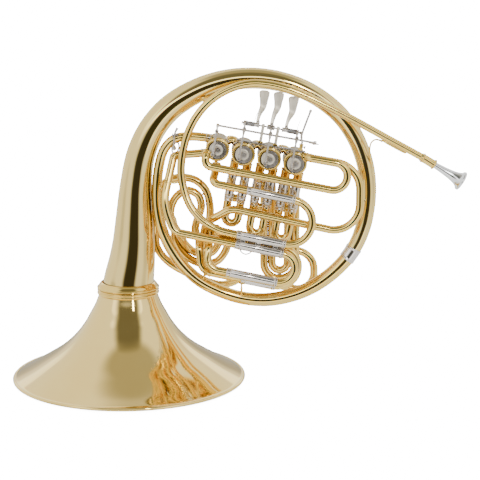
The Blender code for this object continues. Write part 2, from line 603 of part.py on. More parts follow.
# thumb lever: its own long axle turns with it
t_axis = row(0, THUMB_N, HINGE_Y)
le = -5.2
thumb = slab("thumb_lever", (disc_outline(row(-7.0, THUMB_N, HINGE_Y), N, YV, 1.25, 8), tuple(E * 131)), STEEL)
tip = row(le, THUMB_N + LINK_DN, HINGE_Y + LINK_DY)
a = row(le, THUMB_N, HINGE_Y)
u = (tip - a).normalized()
t1 = tube("t1", [a - u * 1.0, tip - u * 3.2], STEEL, outer=1.5, solid=True)
b0 = row(122.5, THUMB_N, HINGE_Y)
b1 = b0 + Vector((0, 36, -6.0))
t2 = tube("t2", [b0 + Vector((0, -1.5, 0.25)), b1], STEEL, outer=1.6, solid=True, sides=6)
w = Vector((0, 0.986, -0.164))
t3 = slab("t3", ([b1 + w * (3.0 + 11.0 * math.cos(t)) + E * (7.0 * math.sin(t)) + N * 0.8
                  for t in (2 * math.pi * j / 12 for j in range(12))], tuple(-N * 1.7)), STEEL)
combine(thumb, [t1, t2, t3], "UNION")
o = P(a)
thumb.data.transform(Matrix.Translation(-o))
thumb.location = o

# link rods, ball to ball
for k in range(4):
    e = VALVE_PITCH * k - 5.2
    n1 = (THUMB_N if k == 0 else HINGE_N) + LINK_DN
    n0 = -PIN_R * math.sin(math.radians(45))
    top = row(e, n1, HINGE_Y + LINK_DY)
    low = row(e, n0, LINK_Y)
    prof = [(0.0, -2.6), (1.9, -1.9), (2.6, 0.0), (1.9, 1.9), (1.1, 2.6), (1.1, n1 - n0 - 2.6),
            (1.9, n1 - n0 - 1.9), (2.6, n1 - n0), (1.9, n1 - n0 + 1.9), (0.0, n1 - n0 + 2.6)]
    turned("link_rod_%d" % (k + 1), prof, low, N, STEEL, seg=8, origin=top)

# finger hook and its socket
hb = row(105.0, 18.2, -26.0)
socket = turned("t5", [(0.0, 0.2), (3.4, 0.2), (3.4, 1.6), (2.6, 2.4), (2.6, 7.6), (3.0, 8.6), (0.0, 8.6)],
                hb, N, BRASS, seg=8)
hook = tube("finger_hook", catmull([tuple(row(105.0, 25.2, -26.5)), tuple(row(105.3, 28.0, -30.0)),
                                    tuple(row(106.2, 34.0, -32.0)), (233, -31.5, 351), (237, -31, 361),
                                    (240, -31, 366)], 8), STEEL, outer=1.55,
     solid=True, sides=6)
combine(hook, [socket], "UNION")

# ------------------------------------------------------------ stays, trim
guard = tube("t6", [(330.5, -24, 322.8), (346.5, -24, 314.0), (362.0, -24, 305.6)], BRASS,
     outer=1.7, solid=True, sides=6)
combine(bpy.data.objects["leadpipe"], [guard], "UNION")

# water key lever and the plate round its opening, between the two left tubes
key = tube("water_key", [(67.5, -19.5, 338.0), (64.5, -19.5, 331.5), (63, -19.5, 318), (63, -19.5, 311)],
           STEEL, outer=1.5, solid=True, sides=6, origin=(64.5, -19.5, 329))
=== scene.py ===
import bpy, bmesh, math, random
from mathutils import Vector, Matrix, noise


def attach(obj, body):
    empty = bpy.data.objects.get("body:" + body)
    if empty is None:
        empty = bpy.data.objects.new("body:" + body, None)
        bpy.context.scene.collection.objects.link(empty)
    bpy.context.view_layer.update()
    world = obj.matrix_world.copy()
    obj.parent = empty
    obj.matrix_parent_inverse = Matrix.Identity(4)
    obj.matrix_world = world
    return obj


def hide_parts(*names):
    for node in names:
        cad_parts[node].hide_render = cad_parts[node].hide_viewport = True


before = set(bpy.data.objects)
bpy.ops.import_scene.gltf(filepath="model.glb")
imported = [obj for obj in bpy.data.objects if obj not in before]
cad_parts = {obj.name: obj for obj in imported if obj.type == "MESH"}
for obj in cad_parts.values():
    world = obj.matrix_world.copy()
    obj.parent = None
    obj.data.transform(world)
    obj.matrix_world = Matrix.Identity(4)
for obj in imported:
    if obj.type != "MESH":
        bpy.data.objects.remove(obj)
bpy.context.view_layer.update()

MM = 0.001
X_MID = 143.3
HORN = "horn_body"

# ------------------------------------------------------- the design, in mm
BELL_R, RING_R, RING_Z = 155.0, 41.0, 122.5
TUBE_R, SLEEVE_R, SLEEVE_BORE, LEG_R = 5.3, 6.0, 5.35, 4.95
ROW_TILT = math.radians(10.3)
VALVE_1, VALVE_PITCH = (119.0, 311.0), 33.9
CASING_R = 15.6
FRONT_Y, BACK_Y = -30.0, 20.0
HINGE_Y, LINK_Y, HINGE_N, THUMB_N, ARM = -24.0, -45.5, 40.0, 30.5, 22.0
SWING = math.radians(12.2)
PIN_R, LEG_PITCH = 6.6, 8.4
Y_MAIN, Y_F, Y_BB, Y_D, Y_LEG_F, Y_LEG_B = -38.0, -36.0, -23.6, -25.0, -11.0, 8.0
E = Vector((math.cos(ROW_TILT), 0.0, -math.sin(ROW_TILT)))
N = Vector((math.sin(ROW_TILT), 0.0, math.cos(ROW_TILT)))
YV = Vector((0.0, 1.0, 0.0))
SD = Vector((0.979, 0, -0.204))
SN = Vector((0.204, 0, 0.979))


def P(v):
    return Vector(((v[0] - X_MID) * MM, v[1] * MM, v[2] * MM))


def row(e, n, y):
    return Vector((VALVE_1[0], 0.0, VALVE_1[1])) + E * e + N * n + YV * y


# ---------------------------------------------------------------- materials
def metal(name, colour, deep, rough, coat=0.0, grain=0.0, aniso=0.0, spread=0.05, bump=0.02):
    """Polished metal: soft tone drift, handling smears in the gloss, hairline
    polishing scratches in the bump, painted shade darkening the colour in the hollows."""
    m = bpy.data.materials.new(name)
    m.use_nodes = True
    nt = m.node_tree
    b = nt.nodes["Principled BSDF"]
    b.inputs["Metallic"].default_value = 1.0
    b.inputs["Coat Weight"].default_value = coat
    b.inputs["Coat Roughness"].default_value = 0.06
    b.inputs["Anisotropic"].default_value = aniso
    tc = nt.nodes.new("ShaderNodeTexCoord")
    big = nt.nodes.new("ShaderNodeTexNoise")
    big.inputs["Scale"].default_value = 14.0
    big.inputs["Detail"].default_value = 3.0
    nt.links.new(tc.outputs["Object"], big.inputs["Vector"])
    ramp = nt.nodes.new("ShaderNodeValToRGB")
    ramp.color_ramp.elements[0].position = 0.30
    ramp.color_ramp.elements[0].color = (*deep, 1)
    ramp.color_ramp.elements[1].position = 0.62
    ramp.color_ramp.elements[1].color = (*colour, 1)
    nt.links.new(big.outputs["Fac"], ramp.inputs["Fac"])
    # painted shade: ambient occlusion darkens the colour where surfaces meet and in tight corners
    ao = nt.nodes.new("ShaderNodeAmbientOcclusion")
    ao.samples = 4
    ao.inputs["Distance"].default_value = 0.006
    painted_shade_level = nt.nodes.new("ShaderNodeMapRange")
    painted_shade_level.inputs["From Min"].default_value = 0.25
    painted_shade_level.inputs["From Max"].default_value = 0.8
    painted_shade_level.inputs["To Min"].default_value = 0.55
    painted_shade_level.inputs["To Max"].default_value = 1.0
    nt.links.new(ao.outputs["AO"], painted_shade_level.inputs["Value"])
    painted_shade_mix = nt.nodes.new("ShaderNodeMix")
    painted_shade_mix.data_type = "RGBA"
    painted_shade_mix.blend_type = "MULTIPLY"
    painted_shade_mix.inputs[0].default_value = 1.0
    nt.links.new(ramp.outputs["Color"], painted_shade_mix.inputs[6])
    nt.links.new(painted_shade_level.outputs["Result"], painted_shade_mix.inputs[7])
    nt.links.new(painted_shade_mix.outputs[2], b.inputs["Base Color"])
    smear = nt.nodes.new("ShaderNodeTexNoise")
    smear.inputs["Scale"].default_value = 38.0
    smear.inputs["Detail"].default_value = 5.0
    smear.inputs["Distortion"].default_value = 1.2
    nt.links.new(tc.outputs["Object"], smear.inputs["Vector"])
    rr = nt.nodes.new("ShaderNodeMapRange")
    rr.inputs["From Min"].default_value = 0.35
    rr.inputs["From Max"].default_value = 0.7
    rr.inputs["To Min"].default_value = rough
    rr.inputs["To Max"].default_value = rough + spread
    nt.links.new(smear.outputs["Fac"], rr.inputs["Value"])
    nt.links.new(rr.outputs["Result"], b.inputs["Roughness"])
    fine = nt.nodes.new("ShaderNodeTexNoise")
    fine.inputs["Scale"].default_value = 900.0 if grain == 0 else 1400.0
    fine.inputs["Detail"].default_value = 2.0
    mp = nt.nodes.new("ShaderNodeMapping")
    mp.inputs["Scale"].default_value = (1.0, 1.0, 0.12 if grain == 0 else grain)
    nt.links.new(tc.outputs["Object"], mp.inputs["Vector"])
    nt.links.new(mp.outputs["Vector"], fine.inputs["Vector"])
    wav = nt.nodes.new("ShaderNodeTexNoise")
    wav.inputs["Scale"].default_value = 55.0
    wav.inputs["Detail"].default_value = 1.0
    nt.links.new(tc.outputs["Object"], wav.inputs["Vector"])
    add = nt.nodes.new("ShaderNodeMath")
    add.operation = "MULTIPLY_ADD"
    add.inputs[1].default_value = 0.12
    nt.links.new(fine.outputs["Fac"], add.inputs[0])
    nt.links.new(wav.outputs["Fac"], add.inputs[2])
    bp = nt.nodes.new("ShaderNodeBump")
    bp.inputs["Strength"].default_value = bump
    bp.inputs["Distance"].default_value = 0.001
    nt.links.new(add.outputs["Value"], bp.inputs["Height"])
    nt.links.new(bp.outputs["Normal"], b.inputs["Normal"])
    return m


def plain(name, colour, deep, rough, scale=300.0, bump=0.2):
    """Cork, rubber and painted small parts: mottled and slightly rough."""
    m = bpy.data.materials.new(name)
    m.use_nodes = True
    nt = m.node_tree
    b = nt.nodes["Principled BSDF"]
    tc = nt.nodes.new("ShaderNodeTexCoord")
    n1 = nt.nodes.new("ShaderNodeTexNoise")
    n1.inputs["Scale"].default_value = scale
    n1.inputs["Detail"].default_value = 6.0
    nt.links.new(tc.outputs["Object"], n1.inputs["Vector"])
    ramp = nt.nodes.new("ShaderNodeValToRGB")
    ramp.color_ramp.elements[0].position = 0.35
    ramp.color_ramp.elements[0].color = (*deep, 1)
    ramp.color_ramp.elements[1].position = 0.65
    ramp.color_ramp.elements[1].color = (*colour, 1)
    nt.links.new(n1.outputs["Fac"], ramp.inputs["Fac"])
    nt.links.new(ramp.outputs["Color"], b.inputs["Base Color"])
    rr = nt.nodes.new("ShaderNodeMapRange")
    rr.inputs["To Min"].default_value = rough - 0.08
    rr.inputs["To Max"].default_value = rough + 0.08
    nt.links.new(n1.outputs["Fac"], rr.inputs["Value"])
    nt.links.new(rr.outputs["Result"], b.inputs["Roughness"])
    bp = nt.nodes.new("ShaderNodeBump")
    bp.inputs["Strength"].default_value = bump
    bp.inputs["Distance"].default_value = 0.0004
    nt.links.new(n1.outputs["Fac"], bp.inputs["Height"])
    nt.links.new(bp.outputs["Normal"], b.inputs["Normal"])
    return m


BRASS = metal("look_lacquered_brass", (0.89, 0.635, 0.175), (0.85, 0.585, 0.14), 0.06, coat=0.2, spread=0.04, bump=0.01)
BELLB = metal("look_lacquered_bell_brass", (0.86, 0.655, 0.235), (0.83, 0.62, 0.205), 0.05, coat=0.2, spread=0.03, bump=0.005)
FLAREB = metal("look_lacquered_flare_brass", (0.92, 0.68, 0.225), (0.89, 0.645, 0.20), 0.05, coat=0.2, spread=0.03, bump=0.005)
NICKEL = metal("look_nickel_silver", (0.76, 0.71, 0.66), (0.70, 0.65, 0.60), 0.12, coat=0.15)
STEEL = metal("look_linkage_nickel", (0.66, 0.61, 0.56), (0.50, 0.465, 0.42), 0.24, grain=0.3, spread=0.12)
SATIN = metal("look_satin_nickel", (0.90, 0.83, 0.69), (0.80, 0.73, 0.60), 0.40, grain=0.5, spread=0.10, bump=0.015)
SPRING = metal("look_spring_wire", (0.35, 0.34, 0.34), (0.28, 0.27, 0.27), 0.28)
SILVER = metal("look_silver_plate", (0.90, 0.90, 0.91), (0.85, 0.85, 0.86), 0.07)
CORK = plain("look_black_bumper", (0.035, 0.033, 0.030), (0.015, 0.014, 0.013), 0.62, 900.0)


# ------------------------------------------------------------- mesh helpers
def publish(bm, name, mat, body=HORN, replaces=(), sharp=35.0, bevel=0.0):
    bmesh.ops.remove_doubles(bm, verts=bm.verts, dist=1e-6)
    bmesh.ops.recalc_face_normals(bm, faces=bm.faces)
    me = bpy.data.meshes.new(name)
    bm.to_mesh(me)
    bm.free()
    me.shade_smooth()
    me.set_sharp_from_angle(angle=math.radians(sharp))
    me.materials.append(mat)
    ob = bpy.data.objects.new(name, me)
    bpy.context.scene.collection.objects.link(ob)
    if bevel:
        m = ob.modifiers.new("edge", "BEVEL")
        m.width, m.segments, m.limit_method = bevel * MM, 2, "ANGLE"
        m.angle_limit = math.radians(40)
    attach(ob, body)
    if replaces:
        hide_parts(*replaces)
    return ob


def catmull(pts, step=4.0):
    pts = [Vector(p) for p in pts]
    ext = [pts[0] * 2 - pts[1]] + pts + [pts[-1] * 2 - pts[-2]]
    out = []
    for i in range(1, len(ext) - 2):
        a, b, c, d = ext[i - 1:i + 3]
        n = max(1, round((c - b).length / step))
        ta, tb, tc = (b - a).length ** 0.5, (c - b).length ** 0.5, (d - c).length ** 0.5
        m1 = ((b - a) / ta - (c - a) / (ta + tb) + (c - b) / tb) * tb
        m2 = ((c - b) / tb - (d - b) / (tb + tc) + (d - c) / tc) * tb
        for k in range(n):
            t = k / n
            out.append(b * (2 * t**3 - 3 * t**2 + 1) + m1 * (t**3 - 2 * t**2 + t)
                       + c * (-2 * t**3 + 3 * t**2) + m2 * (t**3 - t**2))
    out.append(pts[-1])
    return out


def bent(verts, turn=5.0):
    out = [Vector(verts[0][:3])]
    for i in range(1, len(verts) - 1):
        a, b, c = (Vector(verts[k][:3]) for k in (i - 1, i, i + 1))
        r = verts[i][3]
        u, w = (a - b).normalized(), (c - b).normalized()
        ang = math.pi - u.angle(w)
        if ang < 0.02:
            continue
        cut = r * math.tan(ang / 2)
        p0 = b + u * cut
        centre = b + (u + w).normalized() * (r / math.cos(ang / 2))
        axis = (p0 - centre).cross(u).normalized()
        steps = max(2, math.ceil(ang / math.radians(turn)))
        for k in range(steps + 1):
            out.append(centre + Matrix.Rotation(-ang * k / steps, 3, axis) @ (p0 - centre))
    out.append(Vector(verts[-1][:3]))
    return out


def lengths(path):
    s = [0.0]
    for a, b in zip(path, path[1:]):
        s.append(s[-1] + (b - a).length)
    return s


def along(table, s):
    if s <= table[0][0]:
        return table[0][1]
    for (a, va), (b, vb) in zip(table, table[1:]):
        if s <= b:
            return va + (vb - va) * (s - a) / max(b - a, 1e-9)
    return table[-1][1]


def at(path, q):
    s = lengths(path)
    i = max(1, next((j for j in range(len(s)) if s[j] >= q - 1e-6), len(s) - 1))
    t = (q - s[i - 1]) / (s[i] - s[i - 1])
    return path[i - 1].lerp(path[i], t), (path[i] - path[i - 1]).normalized()


def portion(path, s0, s1):
    s = lengths(path)
    s1 = min(s1, s[-1])
    q = [s0] + [v for v in s if s0 + 0.4 < v < s1 - 0.4] + [s1]
    return [at(path, v)[0] for v in q]


def frames_of(path):
    t0 = (path[1] - path[0]).normalized()
    up = YV - t0 * YV.dot(t0)
    if up.length < 0.2:
        up = Vector((0, 0, 1)) - t0 * t0.z
    up.normalize()
    out, prev = [], t0
    for i, p in enumerate(path):
        a = (path[i] - path[i - 1]).normalized() if i else t0
        b = (path[i + 1] - path[i]).normalized() if i < len(path) - 1 else a
        t = (a + b).normalized()
        up = (prev.rotation_difference(t) @ up).normalized()
        up = (up - t * up.dot(t)).normalized()
        prev = t
        out.append((p, up.copy(), t.cross(up).normalized(), t))
    return out


def sweep(bm, path, profile, sides=32, closed_ends=True, flat=1.0):
    """Rings along the route.  profile is a number, a (distance, radius)
    table, or a function of distance."""
    path = [Vector(p) for p in path]
    s = lengths(path)
    if not callable(profile):
        tab = profile if isinstance(profile, list) else [(0.0, profile), (1e9, profile)]
        fn = lambda q: along(tab, q)
    else:
        fn = profile
    rings = []
    for (p, u, w, t), q in zip(frames_of(path), s):
        r = fn(q)
        rings.append([bm.verts.new(P(p + u * (r * math.cos(g)) + w * (r * flat * math.sin(g))))
                      for g in (2 * math.pi * j / sides for j in range(sides))])
    for a, b in zip(rings, rings[1:]):
        for j in range(sides):
            k = (j + 1) % sides
            bm.faces.new((a[j], a[k], b[k], b[j]))
    if closed_ends:
        bm.faces.new(list(reversed(rings[0])))
        bm.faces.new(rings[-1])
    return rings


def tube(name, path, mat, r=TUBE_R, body=HORN, replaces=(), sides=32, bore=None):
    bm = bmesh.new()
    ro = sweep(bm, path, r, sides, closed_ends=bore is None)
    if bore is not None:
        ri = sweep(bm, path, bore, sides, closed_ends=False)
        for a, b in ((ro[0], ri[0]), (ri[-1], ro[-1])):
            for j in range(sides):
                k = (j + 1) % sides
                bm.faces.new((a[j], b[j], b[k], a[k]))
    return publish(bm, name, mat, body, replaces)


def spin(bm, profile, base, axis, seg=48):
    """Turn an outline of (radius, height); open at the axis or a closed loop."""
    axis = Vector(axis).normalized()
    ref = YV if abs(axis.y) < 0.9 else Vector((1, 0, 0))
    u = (ref - axis * ref.dot(axis)).normalized()
    w = axis.cross(u)
    base = Vector(base)
    rings = []
    for r, h in profile:
        if r < 1e-6:
            rings.append([bm.verts.new(P(base + axis * h))])
        else:
            rings.append([bm.verts.new(P(base + axis * h + u * (r * math.cos(2 * math.pi * j / seg))
                                         + w * (r * math.sin(2 * math.pi * j / seg)))) for j in range(seg)])
    pairs = list(zip(rings, rings[1:])) + ([(rings[-1], rings[0])] if profile[0][0] > 1e-6 else [])
    for a, b in pairs:
        if len(a) == 1 and len(b) == 1:
            continue
        for j in range(seg):
            k = (j + 1) % seg
            g = []
            for v in (a[j % len(a)], a[k % len(a)], b[k % len(b)], b[j % len(b)]):
                if v not in g:
                    g.append(v)
            if len(g) > 2:
                bm.faces.new(g)


def turned(name, profile, base, axis, mat, body=HORN, replaces=(), seg=48, sharp=35.0):
    bm = bmesh.new()
    spin(bm, profile, base, axis, seg)
    return publish(bm, name, mat, body, replaces, sharp)


def prism(bm, pts, push):
    a = [bm.verts.new(P(p)) for p in pts]
    b = [bm.verts.new(P(Vector(p) + Vector(push))) for p in pts]
    bm.faces.new(a)
    bm.faces.new(list(reversed(b)))
    for i in range(len(a)):
        k = (i + 1) % len(a)
        bm.faces.new((a[i], b[i], b[k], a[k]))


def slab(name, pts, push, mat, body=HORN, replaces=(), bevel=0.3):
    bm = bmesh.new()
    prism(bm, pts, push)
    return publish(bm, name, mat, body, replaces, bevel=bevel)


def bead(r, h, w, n=6):
    """Half-round bead on radius r at height h, w wide."""
    return [(r + w * 0.45 * math.sin(math.pi * k / n), h - w / 2 + w * k / n) for k in range(n + 1)]


def ring_at(name, path, q, r, w, mat, body=HORN, grow=0.9):
    """Soldered ferrule round a tube: a sleeve with a small bead each end."""
    p, t = at(path, q)
    prof = [(r - 0.15, -w / 2)] + bead(r + 0.25, -w / 2 + 0.7, 1.4, 5) + [(r + 0.22, -w / 2 + 1.8)]
    prof += [(r + 0.22, w / 2 - 1.8)] + bead(r + 0.25, w / 2 - 0.7, 1.4, 5) + [(r - 0.15, w / 2)]
    return turned(name, prof, p, t, mat, body, seg=32)


def stay(name, a, b, na, nb, mat=BRASS, body=HORN, r=1.35, foot=4.2):
    """Brace between two tubes: turned bar with an oval foot soldered at each
    end; na and nb are the tubes' directions there."""
    a, b = Vector(a), Vector(b)
    d = (b - a).normalized()
    bm = bmesh.new()
    L = (b - a).length
    prof = [(0, 0.0), (r * 1.5, 0.0), (r * 1.45, 0.7), (r, 1.5), (r * 0.82, L * 0.35), (r * 1.25, L * 0.46),
            (r * 1.25, L * 0.54), (r * 0.82, L * 0.65), (r, L - 1.5), (r * 1.45, L - 0.7), (r * 1.5, L), (0, L)]
    spin(bm, prof, a, d, 20)
    for p, t, sgn in ((a, Vector(na).normalized(), 1), (b, Vector(nb).normalized(), -1)):
        q = d.cross(t).normalized()
        t = q.cross(d).normalized()
        pts = []
        for j in range(24):
            g = 2 * math.pi * j / 24
            c, s_ = math.cos(g), math.sin(g)
            pts.append(p + t * (foot * c) + q * (foot * 0.5 * s_))
        prism(bm, [v - d * 0.15 * sgn for v in pts], d * 0.75 * sgn)
    return publish(bm, name, mat, body)


def screw_head(bm, p, axis, r=1.2, h=0.8):
    """Slotted cheese head."""
    axis = Vector(axis).normalized()
    ref = Vector((0, 0, 1)) if abs(axis.z) < 0.9 else Vector((1, 0, 0))
    u = (ref - axis * ref.dot(axis)).normalized()
    w = axis.cross(u)
    for side in (-1, 1):
        pts = []
        for j in range(13):
            g = math.pi * j / 12
            x, y = r * math.cos(g), r * math.sin(g)
            pts.append(Vector(p) + u * x + w * (max(y, 0.16) * side))
        prism(bm, pts, axis * h)
    spin(bm, [(0, -0.1), (r * 1.02, -0.1), (r * 1.02, h * 0.55), (0, h * 0.55)], p, axis, 20)


def smooth(table):
    """Smooth read of a (distance, radius) table."""
    xs = [a for a, _ in table]
    ys = [b for _, b in table]
    m = [0.0] * len(xs)
    d = [(ys[i + 1] - ys[i]) / (xs[i + 1] - xs[i]) for i in range(len(xs) - 1)]
    for i in range(1, len(xs) - 1):
        m[i] = 0.0 if d[i - 1] * d[i] <= 0 else 2 * d[i - 1] * d[i] / (d[i - 1] + d[i])
    m[0], m[-1] = d[0], d[-1]

    def f(q):
        if q <= xs[0]:
            return ys[0]
        if q >= xs[-1]:
            return ys[-1]
        i = max(j for j in range(len(xs) - 1) if xs[j] <= q)
        h = xs[i + 1] - xs[i]
        t = (q - xs[i]) / h
        return (ys[i] * (2 * t**3 - 3 * t**2 + 1) + h * m[i] * (t**3 - 2 * t**2 + t)
                + ys[i + 1] * (-2 * t**3 + 3 * t**2) + h * m[i + 1] * (t**3 - t**2))
    return f


# --------------------------------------------------------------------- bell
FLARE = [(38.8, 115.0), (44.5, 100.5), (50.5, 89.5), (57.5, 77.0), (68.0, 62.5),
         (80.0, 49.8), (95.0, 37.6), (113.0, 26.0), (134.0, 13.5), (151.0, 4.6)]
flare = [(p.x, p.z) for p in catmull([(r, 0, h) for r, h in FLARE], 2.5)]
out_side = list(flare)
in_side = []
for i, (r, h) in enumerate(flare):
    a = flare[max(0, i - 1)]
    b = flare[min(len(flare) - 1, i + 1)]
    t = Vector((b[0] - a[0], b[1] - a[1])).normalized()
    in_side.append((r + t.y * 0.9, h - t.x * 0.9))
bead_c = (152.55, 2.45)
rim = [(bead_c[0] + 2.4 * math.cos(a), bead_c[1] + 2.4 * math.sin(a))
       for a in (math.radians(d) for d in range(112, -196, -14))]
turned("bell_flare", [(38.3, 116.2)] + out_side[1:] + rim + [(r, h) for r, h in reversed(in_side[1:-1])]
       + [(37.4, 116.2)], (0, 0, 0), (0, 0, 1), FLAREB, "bell", ["bell_flare"], seg=160, sharp=50)
turned("bell_ring_nut", [(37.5, 114.6), (38.6, 114.2), (39.3, 115.0)] + bead(39.9, 117.0, 3.0, 8)
       + [(39.7, 118.9), (39.6, 119.6)] + bead(40.0, 120.9, 2.3, 8) + [(39.8, 122.25), (37.4, 122.25)],
       (0, 0, 0), (0, 0, 1), BRASS, "bell", seg=128)
turned("bell_screw_ring", [(35.3, 122.75), (40.1, 122.75)] + bead(40.0, 124.4, 2.8, 8) + [(39.5, 126.2), (38.9, 127.4)]
       + [(38.0, 128.8), (36.6, 130.4), (35.4, 131.2), (34.5, 131.3), (34.4, 130.8)],
       (0, 0, 0), (0, 0, 1), BRASS, HORN, ["bell_screw_ring"], seg=128)

NECK = 6.8              # the tail runs on down inside its screw ring
BRANCH = [(0.5, 0, 131.4 - NECK), (0.9, 0, 131.4), (2.8, 0, 143), (5.6, 0, 160), (8.0, 0, 184), (9.5, 0, 220), (12, 0, 262), (19, 0, 301),
          (34, 0, 334), (58, 0, 362), (93, 0, 384), (127, 0, 396), (161, 0, 400), (196, 0, 396.5), (230, 0, 385.5),
          (258, 0, 369), (281, 0, 348), (300, 0, 318.5), (311.5, 0, 286), (315.5, 0, 252), (312, 0, 214),
          (306, 0, 193), (299.6, 0, 178.8), (286.6, 0, 159.4), (264, 0, 137.4), (239, 0, 121.2), (211, 0, 110.6),
          (181, 0, 106), (150, -1, 109), (121, -2, 118.5), (96, -4, 132), (75, -5, 151), (57.5, -6, 176),
          (45.5, -7, 204), (40, -8, 234), (40, -9, 262), (43.5, -10, 289), (50, -11, 309), (63, -12, 322.5),
          (84, -12, 326), (103.2, -12, 324.6), (112.0, -12, 323.2)]
BRANCH_R = [(0, 33.6), (30, 30.4), (60, 27.2), (95, 23.8), (140, 20.2), (200, 18.0), (270, 16.3), (345, 14.0),
            (390, 13.3), (470, 12.0), (600, 10.9), (690, 9.8), (840, 8.8), (980, 7.5), (1050, 6.8), (1150, 5.9),
            (1200, 5.4)]
branch = catmull(BRANCH, 4)
b_len = lengths(branch)[-1]
b_fn = smooth(BRANCH_R)
k_ = lengths(catmull(BRANCH, 30))[-1] / b_len
b_rad = lambda q: b_fn((q - NECK) * k_)
ls = lengths(branch)
FER = ls[min(range(len(branch)), key=lambda i: (branch[i] - Vector((299.6, 0, 178.8))).length)] + 2.4


def piece_of_branch(name, s0, s1, mat, replaces, sides=56, bore=True, add=lambda q: 0.0):
    pth = portion(branch, s0, s1)
    return tube(name, pth, mat, lambda q: b_rad(q + s0) + add(q), HORN, replaces, sides,
                (lambda q: b_rad(q + s0) - 0.9) if bore else None)


piece_of_branch("bell_branch", 0.3, FER + 1.0, BELLB, ["bell_tail", "branch_right"], sides=72)
piece_of_branch("branch_lower", FER + 16.0, b_len, BRASS, ["branch_lower"], sides=40)
# nickel ferrule with a bead at each end
fp = portion(branch, FER, FER + 18.4)
sub = []
for i in range(41):
    sub.append(at(fp, 18.3 * i / 40)[0] if 0 < i < 40 else (fp[0] if i == 0 else fp[-1]))
tube("branch_ferrule", sub, NICKEL,
     lambda q: b_rad(q + FER) + 0.75 + 0.5 * max(0.0, 1 - abs(q - 1.2) / 1.2) ** 0.5 + 0.5 * max(0.0, 1 - abs(q - 17.1) / 1.2) ** 0.5,
     HORN, ["branch_ferrule"], 56, lambda q: b_rad(q + FER) - 0.8)

# ---------------------------------------------------------------- lead pipe
PIPE_END = Vector((399.0, -24.0, 290.4))
PIPE_DIR = Vector((math.cos(math.radians(31.0)), 0, -math.sin(math.radians(31.0))))
LEAD = [(205.0, -38, 189.6), (174, -38, 195.9), (143.5, -38, 202.0), (120, -37.5, 208.0), (101, -36, 219),
        (86, -32, 235), (76.5, -28, 256), (72, -25, 280), (74, -24, 305), (80.5, -24, 330), (92, -24, 353),
        (110, -24, 373.5), (134, -24, 388.5), (161, -24, 395.5), (187, -24, 394), (212, -24, 387.5),
        (237, -24, 377.5), (263, -24, 364.8), (300, -24, 345.6), (340, -24, 323.6)]
LEAD += [tuple(PIPE_END - PIPE_DIR * 21.0), tuple(PIPE_END)]
lead = catmull(LEAD, 3.5)
ll = lengths(lead)[-1]
tube("leadpipe", portion(lead, 60.0, ll - 14), BRASS,
     smooth([(0, TUBE_R), (ll - 290, 5.25), (ll - 150, 4.95), (ll - 80, 4.8)]), HORN, ["leadpipe"], 36)


def sleeve_of(name, path, L, body=HORN, mat=NICKEL, replaces=(), mouth_at_start=True):
    """Nickel outer slide tube, its mouth at the start of the route and a
    stepped ferrule where it takes the branch."""
    p = portion(path, 0.0, L)
    p0, t = p[0], (p[1] - p[0]).normalized()
    Lr = (p[-1] - p0).length
    prof = [(SLEEVE_BORE, 0.0), (SLEEVE_R + 0.15, 0.0)] + bead(SLEEVE_R + 0.1, 1.3, 1.8, 6) + [(SLEEVE_R - 0.05, 2.6)]
    prof += [(SLEEVE_R - 0.05, Lr - 7.0)] + bead(SLEEVE_R + 0.05, Lr - 6.0, 1.6, 6)
    prof += [(SLEEVE_R + 0.05, Lr - 4.9), (SLEEVE_R + 0.05, Lr - 2.2)] + bead(SLEEVE_R + 0.05, Lr - 1.2, 1.4, 6)
    prof += [(TUBE_R - 0.1, Lr - 0.1), (TUBE_R - 0.9, Lr - 2.0), (SLEEVE_BORE, Lr - 3.0)]
    return turned(name, prof, p0, t, mat, body, replaces, seg=36)


sleeve_of("main_slide_sleeve_low", lead, 63.0)
turned("mouthpiece_receiver", [(4.75, 0.0), (5.9, 0.0)] + bead(6.05, -1.5, 2.6, 8) + [(5.75, -3.6), (5.7, -9.0)]
       + [(5.75, -16.5)] + bead(5.9, -18.3, 2.0, 6) + [(5.6, -20.2), (5.1, -21.4), (4.3, -21.4), (4.75, -18.0)],
       PIPE_END, PIPE_DIR, BRASS, seg=40)
gp = [(330.5, -24, 322.8), (346.5, -24, 314.0), (362.0, -24, 305.6)]
gpath = catmull(gp, 2.0)
gl = lengths(gpath)[-1]
tube("leadpipe_guard", gpath, BRASS, lambda q: 1.9 * (max(0.02, 1 - abs(q / gl * 2 - 1) ** 6)) ** 0.5, HORN, (), 20)

turned("mouthpiece", [(2.9, -18.4), (3.4, -18.5), (3.75, -9.0), (4.15, 0.0), (4.22, 2.0), (4.6, 7.0), (5.0, 12.0),
                      (5.6, 18.0), (6.35, 24.0), (7.2, 28.6), (8.3, 32.6), (9.4, 35.2), (10.4, 36.8), (11.8, 37.7),
                      (12.7, 38.5), (13.0, 39.5), (12.95, 40.6), (12.4, 41.6), (11.4, 42.05), (10.2, 41.9),
                      (9.3, 41.2), (8.9, 39.6), (8.4, 36.4), (7.4, 31.5), (5.9, 26.6), (4.1, 21.5), (2.6, 17.0),
                      (2.25, 13.0), (2.4, 6.0), (2.7, -8.0)], PIPE_END, PIPE_DIR, SILVER, "mouthpiece", ["mouthpiece"],
       seg=72, sharp=60)


